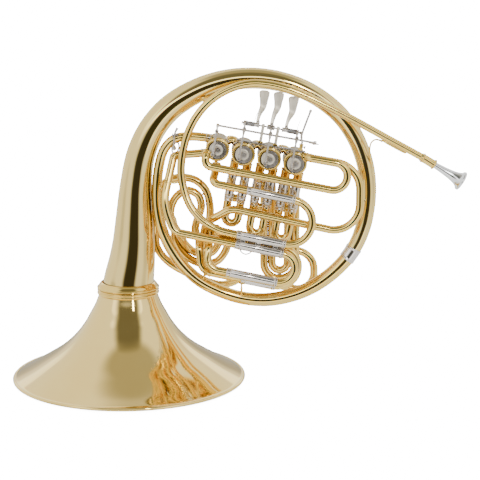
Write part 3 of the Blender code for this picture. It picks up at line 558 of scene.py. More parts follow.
# --------------------------------------------------------- slides and sleeves
def u_slide(name, low, high, reach, leg, body, knob=True):
    low, high = Vector(low), Vector(high)
    r = (high - low).length / 2
    a0, b0 = low - SD * leg, high - SD * leg
    c1, c2 = low + SD * (reach + r), high + SD * (reach + r)
    path = bent([tuple(a0), (*c1, r - 0.05), (*c2, r - 0.05), tuple(b0)], turn=5)
    total = lengths(path)[-1]
    mid = portion(path, leg + 0.4, total - leg - 0.4)
    # the bow between the two legs
    tube(name, mid, BRASS, TUBE_R, body, [name] if knob else (), 40)
    for i, (a, b) in enumerate(((a0, low + SD * 0.9), (b0, high + SD * 0.9))):
        bm = bmesh.new()
        L = (b - a).length
        spin(bm, [(4.2, 0.0), (LEG_R, 0.0), (LEG_R, L), (4.2, L)], a, SD, 32)
        publish(bm, "%s_leg%d" % (name, i + 1), NICKEL, body)
    # end ferrules of the bow
    for i, m in enumerate((low, high)):
        prof = [(TUBE_R - 0.2, 0.35), (SLEEVE_R - 0.1, 0.35)] + bead(SLEEVE_R + 0.0, 1.5, 1.6, 6) + \
               [(5.62, 2.5), (5.62, 6.6)] + bead(5.6, 7.6, 1.3, 6) + [(TUBE_R - 0.2, 8.6)]
        if reach + 0.0 > 0 or True:
            turned("%s_ferrule%d" % (name, i + 1), prof[:0] + [(TUBE_R - 0.2, 0.35), (5.75, 0.35)] + bead(5.75, 1.3, 1.5, 6)
                   + [(TUBE_R - 0.2, 2.3)], m, SD, NICKEL, body, seg=32)


M_LOW = Vector((205.0, Y_MAIN, 189.6))
M_HIGH = M_LOW + SN * 59.0
u_slide("main_slide", M_LOW, M_HIGH, 0.6, 52, "main_slide")
m_elbow = M_HIGH - SD * 107
mret = bent([tuple(M_HIGH), (*m_elbow, 9.0), (115.5, -20, 279, 8.0), (118, -13, 291.5)], turn=5)
tube("main_return", portion(mret, 60, lengths(mret)[-1]), BRASS, TUBE_R, HORN, ["main_return"], 36)
sleeve_of("main_slide_sleeve_high", mret, 62.0)

c_start = row(101.7 + 15.9, 11.5, Y_F)
C_TOP = c_start + E * 34
v4r = bent([tuple(c_start + E * 4), (*(C_TOP + E * 18.6), 17.6), (*(C_TOP + E * 18.6 - N * 35.8), 17.6),
            (*row(-13.0, -22.0, Y_F), 9.0), tuple(row(-13.0, -12.5, Y_F))], turn=5)
v4r = catmull([tuple(row(109.5, 10.4, -25.0)), tuple(row(112.6, 10.9, -28.4)), tuple(row(116.6, 11.4, -33.4)),
               tuple(v4r[0])], 1.5)[:-1] + v4r + catmull([tuple(v4r[-1]), tuple(row(-13.0, -9.6, -34.6)),
               tuple(row(-12.8, -8.0, -31.0)), tuple(row(-12.2, -7.4, -25.5))], 1.2)[1:]
tube("valve4_return", v4r, BRASS, TUBE_R, HORN, ["valve4_return"], 40)
d_start = row(101.7 + 15.9, 10.5, Y_D)
v4o = bent([tuple(d_start - E * 5.5), (303, Y_D, 288.5, 36), (303, Y_D, 197.5, 33), (137, -24, 233.4, 22),
            (104, -18, 214.0, 16), (99, 8, 188, 14), (99, 12, 176)], turn=4)
tube("valve4_outer_return", v4o, BRASS, TUBE_R, HORN, ["valve4_outer_return"], 40)

F_HIGH = Vector((202.0, Y_F, 176.2))
F_LOW = F_HIGH - SN * 38.6
u_slide("f_tuning_slide", F_LOW, F_HIGH, 1.5, 50, "f_tuning_slide")
fin = bent([tuple(F_HIGH), (62.5, Y_F, 205.3, 17), (49.0, -33, 243, 60), (62.5, -14, 301.5, 7.0),
            (106.5, -12, 304.9)], turn=4)
tube("f_slide_inlet", portion(fin, 60, lengths(fin)[-1]), BRASS, TUBE_R, HORN, ["f_slide_inlet"], 40)
sleeve_of("f_slide_sleeve_high", fin, 62.0)
fout = bent([tuple(F_LOW), (*(F_LOW - SD * 92), 17), (107.5, -30, 184.5, 12), (107.5, -9.0, 190)], turn=4)
tube("f_slide_outlet", portion(fout, 64, lengths(fout)[-1]), BRASS, TUBE_R, HORN, ["f_slide_outlet"], 40)
sleeve_of("f_slide_sleeve_low", fout, 66.0)

B_LOW = Vector((192.0, Y_BB, 131.0))
B_HIGH = B_LOW + SN * 52.0
u_slide("b_flat_tuning_slide", B_LOW, B_HIGH, 0.6, 34, "b_flat_tuning_slide")
bout = bent([tuple(B_LOW), (*(B_LOW - SD * 96), 17), (94.5, Y_BB, 186, 12), (94.5, -5, 189)], turn=4)
tube("b_flat_slide_outlet", portion(bout, 42, lengths(bout)[-1]), BRASS, TUBE_R, HORN, ["b_flat_slide_outlet"], 40)
sleeve_of("b_flat_slide_sleeve_low", bout, 44.0)
bin_ = bent([tuple(B_HIGH), (*(B_HIGH - SD * 88), 10), (116.0, 4.0, 200.5)], turn=5)
tube("b_flat_slide_inlet", portion(bin_, 42, lengths(bin_)[-1]), BRASS, TUBE_R, HORN, ["b_flat_slide_inlet"], 40)
sleeve_of("b_flat_slide_sleeve_high", bin_, 44.0)

# ---------------------------------------------------------------- rear tubes
# one route from the F outlet round the upper coil, down the left, along the
# back and round the right crook
ROUTE_A = [(107.5, -9.0, 190), (107.2, -1, 193), (107.2, 8, 201), (108, 13, 213), (108.5, 14, 228), (103, 14, 251),
           (89, 14, 264.5), (70, 14, 268), (54, 14, 264), (43, 14, 253), (38.5, 15, 236), (36.5, 17, 214),
           (35.3, 20, 193), (38, 20, 172), (52, 18, 154), (72, 18, 141), (98, 18, 129), (122, 20, 121.8),
           (137, 29, 122.5), (149, 37.5, 126.0), (163, 39, 123.9)]
rrc = bent([(163, 39, 177.08), (247.5, 39, 159.5, 26), (247.5, 39, 106.3, 22), (163, 39, 123.9)], turn=4)
up = [(133.0, 26, 178.0), (139, 29.5, 182.8), (148, 36, 181.6), (163, 39, 177.08)]
LOWER_OUT = [(35.3, 20, 194), (36.8, 21.5, 205), (41.5, 25, 213.5), (50, 28, 217), (57, 28, 211.5), (60.5, 26.5, 199),
             (62, 26, 182), (70, 26, 166), (84, 26, 154), (101, 26, 148.5), (118, 26, 153), (128, 26, 165)]
INNER = [(94.5, -5, 189.2), (91.5, -1, 192), (89.0, 7, 201), (91.5, 13, 212), (97, 12, 230), (92, 12, 245.5),
         (77, 12, 251), (63, 12, 241), (56.5, 12, 224), (58, 12, 209), (65, 12, 197), (70, 14.5, 188), (73.8, 20.5, 179),
         (79, 25.2, 171.5), (87, 26, 165.2), (98, 26, 161.5), (111, 26, 165), (119.5, 26, 178), (120, 24.5, 190),
         (118, 17, 198.5), (116.3, 8, 200.5), (116.0, 4.0, 200.5)]
tube("rear_route", catmull(ROUTE_A, 3.0), BRASS, TUBE_R, HORN, ["upper_coil", "rear_left_crook"], 36)
tube("rear_right_crook", catmull(LOWER_OUT + up, 3.0)[:-1] + rrc, BRASS, TUBE_R, HORN,
     ["rear_right_crook", "lower_coil"], 36)
tube("rear_inner_route", catmull(INNER, 3.0), BRASS, TUBE_R, HORN, (), 36)
tube("outer_return_tail", catmull([(99, 11.4, 178), (99, 13.2, 171.5), (99, 18, 166), (99, 24, 162.5)], 1.5), BRASS,
     5.2, HORN, (), 32)
# rear loops, their ends let into the fixed legs of valves 3 and 4
RL = bent([(180, 26, 240), (180, 26, 129, 20.8), (222, 26, 129, 20.8), (222, 26, 240)], turn=5)
tube("rear_loop_outer", catmull([(172.4, 13.8, 270.5), (173.4, 19.5, 269.8), (176.6, 24.6, 263.5), (179.4, 26, 252), (180, 26, 240)], 2.0)[:-1]
     + RL + catmull([(222, 26, 240), (222, 26, 248), (222, 24.6, 256.5), (222, 19.5, 262), (222, 13.8, 263)], 2.0)[1:],
     BRASS, TUBE_R, HORN, ["rear_loops"], 36)
RL = bent([(190.6, 26, 240), (190.6, 26, 140.5, 10.4), (211.4, 26, 140.5, 10.4), (211.4, 26, 240)], turn=6)
tube("rear_loop_inner", catmull([(188.8, 13.8, 267.5), (189.2, 19.5, 266.5), (190, 24.6, 260.5), (190.6, 26, 250), (190.6, 26, 240)], 2.0)[:-1]
     + RL + catmull([(211.4, 26, 240), (210.6, 26, 249), (208.2, 24.6, 258.5), (206.2, 19.5, 265), (205.6, 13.8, 266)], 2.0)[1:],
     BRASS, TUBE_R, HORN, (), 36)


# ------------------------------------------------------------------- valves
def valve_axis(k, y=0.0):
    return row(VALVE_PITCH * k, 0.0, y)


for k in range(4):
    tag = "valve%d_" % (k + 1)
    c = valve_axis(k)
    R = CASING_R
    prof = [(3.4, FRONT_Y + 3.4), (3.4, FRONT_Y), (12.4, FRONT_Y), (12.9, FRONT_Y + 0.5), (13.2, FRONT_Y + 1.5),
            (14.1, FRONT_Y + 1.6), (14.9, FRONT_Y + 1.9), (15.45, FRONT_Y + 2.6), (15.5, FRONT_Y + 4.6),
            (15.15, FRONT_Y + 5.0), (15.15, FRONT_Y + 5.6), (15.5, FRONT_Y + 6.0), (15.5, BACK_Y - 5.6),
            (15.15, BACK_Y - 5.2), (15.15, BACK_Y - 4.7), (15.6, BACK_Y - 4.3), (15.6, BACK_Y - 0.4), (15.3, BACK_Y),
            (14.1, BACK_Y), (14.1, FRONT_Y + 3.4)]
    turned(tag + "casing", prof, c, YV, BRASS, HORN, [tag + "casing"], seg=72)
    turned(tag + "bearing_plate", [(3.5, FRONT_Y + 0.5), (3.5, FRONT_Y - 0.9), (4.6, FRONT_Y - 0.95), (6.2, FRONT_Y - 0.7),
                                   (7.6, FRONT_Y - 0.35), (9.4, FRONT_Y - 0.1), (11.0, FRONT_Y + 0.05),
                                   (11.7, FRONT_Y + 0.3), (11.9, FRONT_Y + 0.9), (11.0, FRONT_Y + 1.4)],
           c, YV, SATIN, HORN, seg=72)
    turned(tag + "front_ring", [(11.95, FRONT_Y + 1.6), (11.95, FRONT_Y + 0.3), (12.3, FRONT_Y - 0.1), (12.9, FRONT_Y - 0.25),
                                (13.5, FRONT_Y - 0.05), (13.9, FRONT_Y + 0.5), (14.1, FRONT_Y + 1.3), (13.6, FRONT_Y + 1.9)],
           c, YV, BRASS, HORN, seg=72)
    # screwed back cap with a coined rim
    bm = bmesh.new()
    spin(bm, [(0.0, BACK_Y + 0.3), (14.5, BACK_Y + 0.3), (14.7, BACK_Y + 0.9), (14.7, BACK_Y + 3.9),
              (14.2, BACK_Y + 4.6), (12.6, BACK_Y + 5.0), (11.6, BACK_Y + 4.7), (11.0, BACK_Y + 4.9),
              (9.0, BACK_Y + 5.3), (4.0, BACK_Y + 5.4), (1.4, BACK_Y + 5.3), (1.2, BACK_Y + 4.9), (0.0, BACK_Y + 4.9)],
         c, YV, 96)
    publish(bm, tag + "back_cap", BRASS, HORN, [tag + "back_cap"])
    bm = bmesh.new()
    for j in range(60):
        g = 2 * math.pi * j / 60
        d, t = E * math.cos(g) + N * math.sin(g), E * -math.sin(g) + N * math.cos(g)
        p = c + YV * (BACK_Y + 1.1) + d * 14.45
        prism(bm, [p - t * 0.42, p + d * 0.5, p + t * 0.42], YV * 2.7)
    publish(bm, tag + "cap_coining", BRASS, HORN)
    # front bearing plate, cork plate with its two bumpers, screws
    pts = []
    span = [math.radians(a) for a in range(-96, 103, 6)]
    y0 = FRONT_Y + 0.2
    for a in span:
        pts.append(c + E * (11.4 * math.cos(a)) + N * (11.4 * math.sin(a)) + YV * y0)
    for a in reversed(span):
        pts.append(c + E * (7.4 * math.cos(a)) + N * (7.4 * math.sin(a)) + YV * y0)
    slab(tag + "cork_plate", pts, YV * -1.5, STEEL, HORN, (), bevel=0.25)
    bm = bmesh.new()
    for a in (-52, 52):
        p = c + E * (9.4 * math.cos(math.radians(a))) + N * (9.4 * math.sin(math.radians(a))) + YV * (FRONT_Y - 1.2)
        screw_head(bm, p, -YV, 1.25, 0.9)
    publish(bm, tag + "plate_screws", STEEL, HORN, sharp=30)
    for i, a in enumerate((-104, 118)):
        d = E * math.cos(math.radians(a)) + N * math.sin(math.radians(a))
        p = c + d * 9.6
        turned(tag + "bumper%d" % (i + 1), [(0, FRONT_Y + 0.2), (2.0, FRONT_Y + 0.1), (2.15, FRONT_Y - 0.6),
                                           (2.15, FRONT_Y - 2.3), (1.8, FRONT_Y - 2.9), (0, FRONT_Y - 3.0)],
               p, YV, CORK, HORN, seg=24)
    # rotor and its bearing
    turned(tag + "rotor", [(0.0, FRONT_Y - 3.2), (2.7, FRONT_Y - 3.2), (2.9, FRONT_Y - 2.9), (2.9, FRONT_Y + 4.0),
                           (13.2, FRONT_Y + 4.2), (13.4, FRONT_Y + 4.6), (13.4, BACK_Y - 1.0), (13.0, BACK_Y - 0.6),
                           (2.4, BACK_Y - 0.6), (0.0, BACK_Y - 0.6)], c, YV, STEEL, "rotor_%d" % (k + 1),
           [tag + "rotor"], seg=56)
    # stop arm: round hub with a screw, tapered arm, link pin
    ay = FRONT_Y - 3.5
    d = -(E + N).normalized()
    q = (E - N).normalized()
    bm = bmesh.new()
    spin(bm, [(0, ay), (4.1, ay), (4.3, ay - 0.4), (4.3, ay - 2.6), (3.9, ay - 3.2), (2.2, ay - 3.4), (0, ay - 3.4)],
         c, YV, 48)
    arm = []
    for t, wd in ((0.0, 2.6), (0.5, 1.9), (1.0, 1.7)):
        arm.append((t, wd))
    L = PIN_R + 0.1
    left = [c + d * (1.5 + (L - 1.5) * t) + q * wd + YV * (ay - 0.5) for t, wd in arm]
    tip = [c + d * (L + 2.1 * math.sin(math.radians(g))) + q * (1.9 * math.cos(math.radians(g))) + YV * (ay - 0.5)
           for g in range(0, 181, 20)]
    right = [c + d * (1.5 + (L - 1.5) * t) - q * wd + YV * (ay - 0.5) for t, wd in reversed(arm)]
    prism(bm, left + tip + right, YV * -2.1)
    p = c + d * PIN_R
    spin(bm, [(0, ay - 1.0), (1.9, ay - 1.0), (1.9, ay - 3.3), (1.3, ay - 3.7), (1.3, LINK_Y + 3.4), (1.0, LINK_Y + 2.95),
              (0, LINK_Y + 2.95)], p, YV, 24)
    screw_head(bm, c + YV * (ay - 3.3), -YV, 2.0, 0.9)
    publish(bm, tag + "stop_arm", STEEL, "rotor_%d" % (k + 1), [tag + "stop_arm"], sharp=32, bevel=0.15)
    # clamp screw on the hub, on the side away from the arm
    u = (N * 0.9 - E * 0.44).normalized()
    turned(tag + "hub_screw", [(0, 3.6), (1.1, 3.6), (1.1, 5.3), (0.8, 5.6), (0, 5.6)],
           c + YV * (ay - 1.7), u, STEEL, "rotor_%d" % (k + 1), seg=20)

# knuckles and slides below valves 2 to 4
for k in (1, 2, 3):
    for side in ("f", "b_flat"):
        y = Y_LEG_F if side == "f" else Y_LEG_B
        long_sleeve, drop = (60.0, (86.0, 93.5, 95.0)[k - 1]) if side == "f" else (44.0, (56.0, 62.0, 58.0)[k - 1])
        c = valve_axis(k, y)
        body = "valve%d_%s_slide" % (k + 1, side)
        nm = body
        for i, sgn in enumerate((-1, 1)):
            a = c + E * (LEG_PITCH * sgn)
            knuckle = 27.0
            turned("valve%d_%s_knuckle%d" % (k + 1, side, i + 1), [(SLEEVE_BORE, 13.2), (6.2, 13.2), (5.75, 15.5), (5.7, 17.0)]
                   + [(5.7, knuckle - 2.4)] + bead(5.75, knuckle - 1.3, 1.8, 6) + [(SLEEVE_BORE, knuckle - 0.1)], a, -N, BRASS,
                   HORN, (), seg=36)
            prof = [(SLEEVE_BORE, knuckle), (5.85, knuckle), (5.9, long_sleeve - 4.2)] + bead(5.95, long_sleeve - 3.0, 1.4, 6) + \
                   [(5.95, long_sleeve - 1.9)] + bead(5.95, long_sleeve - 1.0, 1.2, 5) + \
                   [(5.9, long_sleeve), (SLEEVE_BORE, long_sleeve)]
            turned("valve%d_%s_sleeve%d" % (k + 1, side, i + 1), prof, a, -N, NICKEL, HORN,
                   ["valve%d_slide_sleeves" % (k + 1)] if (side == "f" and i == 0) else (), seg=36)
        stay("valve%d_%s_brace" % (k + 1, side), c - E * 2.6 - N * 31.5, c + E * 2.6 - N * 31.5, N, N, NICKEL, HORN,
             1.5, 2.6)
        a, b = c - E * LEG_PITCH, c + E * LEG_PITCH
        inner = long_sleeve - 22.0
        path = bent([tuple(a - N * (long_sleeve + 0.35)), (*(a - N * (drop + LEG_PITCH)), LEG_PITCH - 0.05),
                     (*(b - N * (drop + LEG_PITCH)), LEG_PITCH - 0.05), tuple(b - N * (long_sleeve + 0.35))], turn=6)
        tube(nm, path, BRASS, TUBE_R, body, [nm], 32)
        for i, p in enumerate((a, b)):
            bm = bmesh.new()
            spin(bm, [(4.2, inner), (LEG_R, inner), (LEG_R, long_sleeve + 1.0), (4.2, long_sleeve + 1.0)], p, -N, 28)
            publish(bm, "%s_leg%d" % (nm, i + 1), NICKEL, body)
            turned("%s_ferrule%d" % (nm, i + 1), [(TUBE_R - 0.2, long_sleeve + 0.35), (5.8, long_sleeve + 0.35)]
                   + bead(5.75, long_sleeve + 1.5, 1.6, 6) + [(5.6, long_sleeve + 2.6), (5.6, long_sleeve + 4.6)]
                   + bead(5.5, long_sleeve + 5.4, 1.0, 5) + [(TUBE_R - 0.2, long_sleeve + 6.2)], p, -N, NICKEL, body, seg=32)

# short crossings between the valves, on the upper side
for k in range(3):
    a = valve_axis(k, -12.0)
    b = valve_axis(k + 1, -12.0)
    e0, e1 = a + E * 11.2 + N * 10.6, b - E * 11.2 + N * 10.6
    mid = (e0 + e1) / 2 + N * 3.4
    pth = catmull([tuple(e0 - E * 1.0 - N * 1.2), tuple(e0 + E * 2.0 + N * 1.6), tuple(mid), tuple(e1 - E * 2.0 + N * 1.6),
                   tuple(e1 + E * 1.0 - N * 1.2)], 0.8)
    tube("valve_crossing%d" % (k + 1), pth, BRASS, 4.7, HORN, (), 32)
    for i, (p, t) in enumerate(((e0, E * 0.62 + N * 0.78), (e1, E * -0.62 + N * 0.78))):
        turned("valve_crossing%d_collar%d" % (k + 1, i + 1), [(4.0, -1.2)] + [(5.2, -1.2)] + bead(5.2, 0.1, 1.6, 6) +
               [(5.1, 1.0), (4.0, 1.3)], p + t * 1.4, t, NICKEL, HORN, seg=28)
for k in range(3):                      # and behind, lower
    a = valve_axis(k, 6.0)
    b = valve_axis(k + 1, 6.0)
    e0, e1 = a + E * 11.2 + N * 10.6, b - E * 11.2 + N * 10.6
    mid = (e0 + e1) / 2 + N * 1.6
    tube("valve_crossing_rear%d" % (k + 1), catmull([tuple(e0 - E - N * 1.2), tuple(e0 + E * 2.0 + N * 1.0), tuple(mid),
         tuple(e1 - E * 2.0 + N * 1.0), tuple(e1 + E - N * 1.2)], 0.8), BRASS, 4.7, HORN, (), 32)

# ------------------------------------------------------------------ linkage
slab("lever_bracket", [row(22, 16.0, -29), row(112, 16.0, -29), row(112, 16.0, -19), row(22, 16.0, -19)],
     tuple(N * 1.8), NICKEL, HORN, ["lever_bracket"], bevel=0.4)
bm = bmesh.new()
for e in (27, 46, 60.5, 80, 107):
    screw_head(bm, row(e, 17.7, -24.0), N, 1.5, 0.8)
publish(bm, "bracket_screws", STEEL, HORN, sharp=30)
for i, e in enumerate((52.5, 72.0)):
    pts = []
    for y, n in ((2.9, 17.0), (2.3, 20.0), (2.1, 26.0), (2.9, THUMB_N), (2.1, 35.0)):
        pts.append(row(e - 2.0, n, HINGE_Y + y))
    for a in range(0, 181, 18):
        g = math.radians(a)
        pts.append(row(e - 2.0, HINGE_N + 3.1 * math.sin(g), HINGE_Y + 3.1 * math.cos(g)))
    for y, n in ((2.1, 35.0), (2.9, THUMB_N), (2.1, 26.0), (2.3, 20.0), (2.9, 17.0)):
        pts.append(row(e - 2.0, n, HINGE_Y - y))
    ob = slab("lever_post%d" % (i + 1), pts, tuple(E * 4.0), SATIN, HORN, (), bevel=1.0)
    slab("lever_post%d_foot" % (i + 1), [row(e - 3.2, 17.6, HINGE_Y - 3.4), row(e + 3.2, 17.6, HINGE_Y - 3.4), row(e + 3.2, 17.6, HINGE_Y + 3.4), row(e - 3.2, 17.6, HINGE_Y + 3.4)], tuple(N * 3.0), BRASS, HORN, (), bevel=1.0)
bm = bmesh.new()
spin(bm, [(0, 24.3), (1.9, 24.3), (2.0, 24.7), (2.0, 25.9), (1.2, 26.1), (1.2, 99.6), (2.0, 99.8), (2.0, 101.4),
          (1.8, 102.1), (0, 102.1)], row(0, HINGE_N, HINGE_Y), E, 32)
publish(bm, "lever_axle", STEEL, HORN, ["lever_axle"])

LINK_DN = -ARM * math.sin(SWING)
LINK_DY = -ARM * math.cos(SWING)
FINGERS = (("finger_lever_1", VALVE_PITCH - 5.2, (26.6, 47.5), 44.5, (178.5, 374.0), 12.0),
           ("finger_lever_2", 2 * VALVE_PITCH - 5.2, (57.5, 67.5), 62.5, (197.0, 372.5), 11.2),
           ("finger_lever_3", 3 * VALVE_PITCH - 5.2, (77.0, 99.0), 81.5, (216.0, 367.0), 11.2))
for name, le, hub, fe, pad, rise in FINGERS:
    axis = row(0, HINGE_N, HINGE_Y)
    h0, h1 = hub
    prof = [(1.75, h0), (3.0, h0), (3.3, h0 + 0.3), (3.3, h0 + 1.9), (2.8, h0 + 2.2), (2.8, h1 - 2.2), (3.3, h1 - 1.9),
            (3.3, h1 - 0.3), (3.0, h1), (1.75, h1)]
    turned(name, prof, axis, E, STEEL, name, [name], seg=40)
    # coiled return spring on the barrel
    g0 = h0 + 2.6 if abs(fe - h0) > abs(fe - h1) else h0 + 5.0
    span_ = (h1 - h0) - 7.5
    coil = []
    turns = max(4, int(span_ / 1.3))
    s0 = h0 + 2.6 if fe > (h0 + h1) / 2 else h1 - 2.6 - turns * 1.15
    for i in range(turns * 14 + 1):
        g = 2 * math.pi * i / 14
        p = axis + E * (s0 + 1.15 * i / 14) + N * (3.3 * math.cos(g)) + YV * (3.3 * math.sin(g))
        coil.append(p)
    tube(name + "_spring", coil, SPRING, 0.42, HORN, (), 8)
    # spring tail, standing up behind the touch piece
    end = coil[-1]
    tail = catmull([tuple(end), tuple(end + N * 3 + YV * 1.2), tuple(end + N * 8 + YV * 1.0 + E * 0.6),
                    tuple(end + N * 12.5 + E * 1.6)], 1.0)
    tube(name + "_spring_tail", tail, SPRING, 0.38, HORN, (), 8)
    tip = row(le, HINGE_N + LINK_DN, HINGE_Y + LINK_DY)
    a = row(le, HINGE_N, HINGE_Y)
    u = (tip - a).normalized()
    sh = [a + u * 2.0, a + u * 6, a + u * 12, tip - u * 3.1]
    tube(name + "_link_arm", catmull(sh, 1.0), STEEL, smooth([(0, 2.1), (3, 1.55), (12, 1.35), (18, 1.6)]), name, (), 20)
    base = row(fe, HINGE_N, HINGE_Y)
    neck = Vector((pad[0] - 1.0, -15.0, pad[1] - 9.0))
    v = (neck - base).normalized()
    top = Vector((pad[0] + 1.3, -13.7, pad[1] + rise))
    pth = catmull([tuple(base + v * 1.9), tuple(base.lerp(neck, 0.3) + Vector((-1.0, -1.0, 0))),
                   tuple(base.lerp(neck, 0.65) + Vector((-1.2, -1.2, 0))), tuple(neck + Vector((0.0, 0.3, 0))),
                   tuple(Vector((pad[0] + 0.3, -14.2, pad[1]))), tuple(top)], 0.9)
    pl = lengths(pth)[-1]
    half = smooth([(0, 2.3), (5, 2.2), (12, 2.7), (20, 3.9), (pl - 13, 5.4), (pl - 5, 6.7), (pl, 7.0)])
    bm = bmesh.new()
    rings = []
    NW = 20
    for (p, _, _, t), q in zip(frames_of(pth), lengths(pth)):
        w_ = (YV - t * YV.dot(t)).normalized()
        x_ = t.cross(w_).normalized()
        hw = half(q)
        if q > pl - 3.2:
            hw *= max(0.3, 1 - 0.9 * ((q - pl + 3.2) / 3.2) ** 2.6) ** 0.5
        th = 0.85 - 0.15 * q / pl
        sag = 0.20 * hw
        ring_ = []
        for j in range(NW + 1):                     # front face, edge to edge
            f = -1 + 2 * j / NW
            ring_.append(p + x_ * (hw * f) + w_ * (-th * (1 - abs(f) ** 5) - sag * f * f))
        for j in range(NW - 1, 0, -1):              # back face
            f = -1 + 2 * j / NW
            ring_.append(p + x_ * (hw * f) + w_ * (th * (1 - abs(f) ** 5) - sag * f * f))
        rings.append([bm.verts.new(P(v_)) for v_ in ring_])
    for r0, r1 in zip(rings, rings[1:]):
        for j in range(len(r0)):
            j2 = (j + 1) % len(r0)
            bm.faces.new((r0[j], r0[j2], r1[j2], r1[j]))
    bm.faces.new(list(reversed(rings[0])))
    bm.faces.new(rings[-1])
    publish(bm, name + "_plate", SATIN, name, sharp=60)
    # socket that carries the plate on the barrel
    spin_bm = bmesh.new()
    spin(spin_bm, [(0, 1.6), (2.6, 1.8), (2.7, 2.4), (2.3, 4.6), (1.6, 6.4), (0, 6.6)], base, v, 28)
    publish(spin_bm, name + "_socket", STEEL, name)

# thumb lever on its long turning rod
t_axis = row(0, THUMB_N, HINGE_Y)
le = -5.2
bm = bmesh.new()
prof = [(0, -7.0), (2.3, -7.0), (2.6, -6.6), (2.6, -3.8), (2.3, -3.4), (1.5, -3.2), (1.5, 119.6), (2.3, 119.9),
        (2.6, 120.4), (2.6, 123.4), (2.3, 123.9), (0, 124.0)]
spin(bm, prof, t_axis, E, 32)
publish(bm, "thumb_lever", STEEL, "thumb_lever", ["thumb_lever"])
tip = row(le, THUMB_N + LINK_DN, HINGE_Y + LINK_DY)
a = row(le, THUMB_N, HINGE_Y)
u = (tip - a).normalized()
tube("thumb_link_arm", catmull([tuple(a + u * 1.0), tuple(a + u * 6), tuple(a + u * 12), tuple(tip - u * 3.1)], 1.0), STEEL,
     smooth([(0, 2.2), (3, 1.6), (12, 1.35), (18, 1.6)]), "thumb_lever", (), 20)
b0 = row(122.0, THUMB_N, HINGE_Y)
b1 = b0 + Vector((0, 36, -6.0))
wv = Vector((0, 0.986, -0.164))
pth = catmull([tuple(b0 + Vector((0, 0.5, -0.1))), tuple(b0.lerp(b1, 0.35)), tuple(b0.lerp(b1, 0.7)), tuple(b1 + wv * 1.5)], 1.2)
tube("thumb_arm", pth, STEEL, smooth([(0, 2.0), (8, 1.6), (30, 1.6), (38, 2.3)]), "thumb_lever", (), 20)
bm = bmesh.new()
layers = []
for dz, shrink in ((-0.9, 0.93), (-0.6, 1.0), (0.3, 1.0), (0.8, 0.94)):
    layers.append([bm.verts.new(P(b1 + wv * (3.0 + 11.0 * shrink * math.cos(t)) + E * (7.0 * shrink * math.sin(t)) + N * dz))
                   for t in (2 * math.pi * j / 40 for j in range(40))])
for r0, r1 in zip(layers, layers[1:]):
    for j in range(40):
        bm.faces.new((r0[j], r0[(j + 1) % 40], r1[(j + 1) % 40], r1[j]))
for r_ in (layers[0], layers[-1]):
    cc = bm.verts.new(P(b1 + wv * 3.0 + N * (-0.7 if r_ is layers[0] else 0.3)))
    for j in range(40):
        bm.faces.new((r_[j], r_[(j + 1) % 40], cc))
publish(bm, "thumb_touch", STEEL, "thumb_lever", sharp=50)

# link rods with ball-joint ends
for k in range(4):
    e = VALVE_PITCH * k - 5.2
    n1 = (THUMB_N if k == 0 else HINGE_N) + LINK_DN
    n0 = -PIN_R * math.sin(math.radians(45))
    low = row(e, n0, LINK_Y)
    L = n1 - n0
    def ball(h, s):
        return [(2.6 * math.sin(math.radians(a)), h - s * 2.6 * math.cos(math.radians(a))) for a in range(0, 151, 15)]
    prof = ball(0.0, 1) + [(1.5, 2.7), (1.6, 3.2), (1.8, 5.6), (1.6, 6.0), (1.3, 6.4), (1.3, L - 6.6), (1.6, L - 6.3), (1.9, L - 6.0),
                           (1.9, L - 3.3), (1.4, L - 2.6)]
    prof += [(2.6 * math.sin(math.radians(a)), L + 2.6 * -math.cos(math.radians(a))) for a in range(35, 181, 15)] + [(0, L + 2.6)]
    turned("link_rod_%d" % (k + 1), prof, low, N, STEEL, "link_rod_%d" % (k + 1), ["link_rod_%d" % (k + 1)], seg=32)
    for i, h in enumerate((0.0, L)):
        bm = bmesh.new()
        screw_head(bm, low + N * h + YV * -2.0, -YV, 1.35, 0.9)
        publish(bm, "link_rod_%d_screw%d" % (k + 1, i + 1), STEEL, "link_rod_%d" % (k + 1), sharp=30)

# finger hook in its socket
hb = row(105.0, 18.2, -26.0)
turned("finger_hook_socket", [(0.0, 0.2), (3.2, 0.2), (3.4, 0.5), (3.4, 1.4), (2.7, 2.2), (2.55, 3.0), (2.55, 6.4), (3.0, 6.8),
                              (3.1, 7.6), (2.9, 8.3), (1.8, 8.6), (0.0, 8.6)], hb, N, BRASS, "finger_hook", seg=36)
bm = bmesh.new()
hk = catmull([tuple(row(105.0, 25.2, -26.5)), tuple(row(105.2, 28.5, -28.5)), (226.6, -30.0, 329.5), (229.4, -31.0, 338.0),
              (233.6, -31, 349.5), (238.2, -31, 361.5)], 1.5)
hl = lengths(hk)[-1]
sweep(bm, hk, lambda q: 1.5 if q < hl - 2.2 else 1.5 + 0.7 * math.sin(math.pi * (q - hl + 2.2) / 4.4), 20)
spin(bm, [(0, -1.9), (1.1, -1.6), (1.8, -0.8), (2.0, 0.0), (1.8, 0.8), (1.1, 1.6), (0, 1.9)], hk[-1], (0.25, 0, 0.97), 24)
publish(bm, "finger_hook", STEEL, "finger_hook", ["finger_hook"], sharp=50)
# grip rings on the hook's shank
p0, t0 = at(hk, 14.0)
for i in range(4):
    p1, t1 = at(hk, 11.0 + 2.2 * i)
    turned("finger_hook_ring%d" % (i + 1), [(1.3, -0.7)] + bead(1.55, 0.0, 1.4, 6) + [(1.3, 0.7)], p1, t1, STEEL,
           "finger_hook", seg=24)
turned("finger_hook_thumbscrew", [(0, 2.4), (0.9, 2.4), (0.9, 4.0), (2.0, 4.2), (2.3, 4.6), (2.3, 5.4), (2.0, 5.8), (0, 5.8)],
       hb + N * 4.6, (E * 0.97 + YV * -0.25), NICKEL, "finger_hook", seg=28)
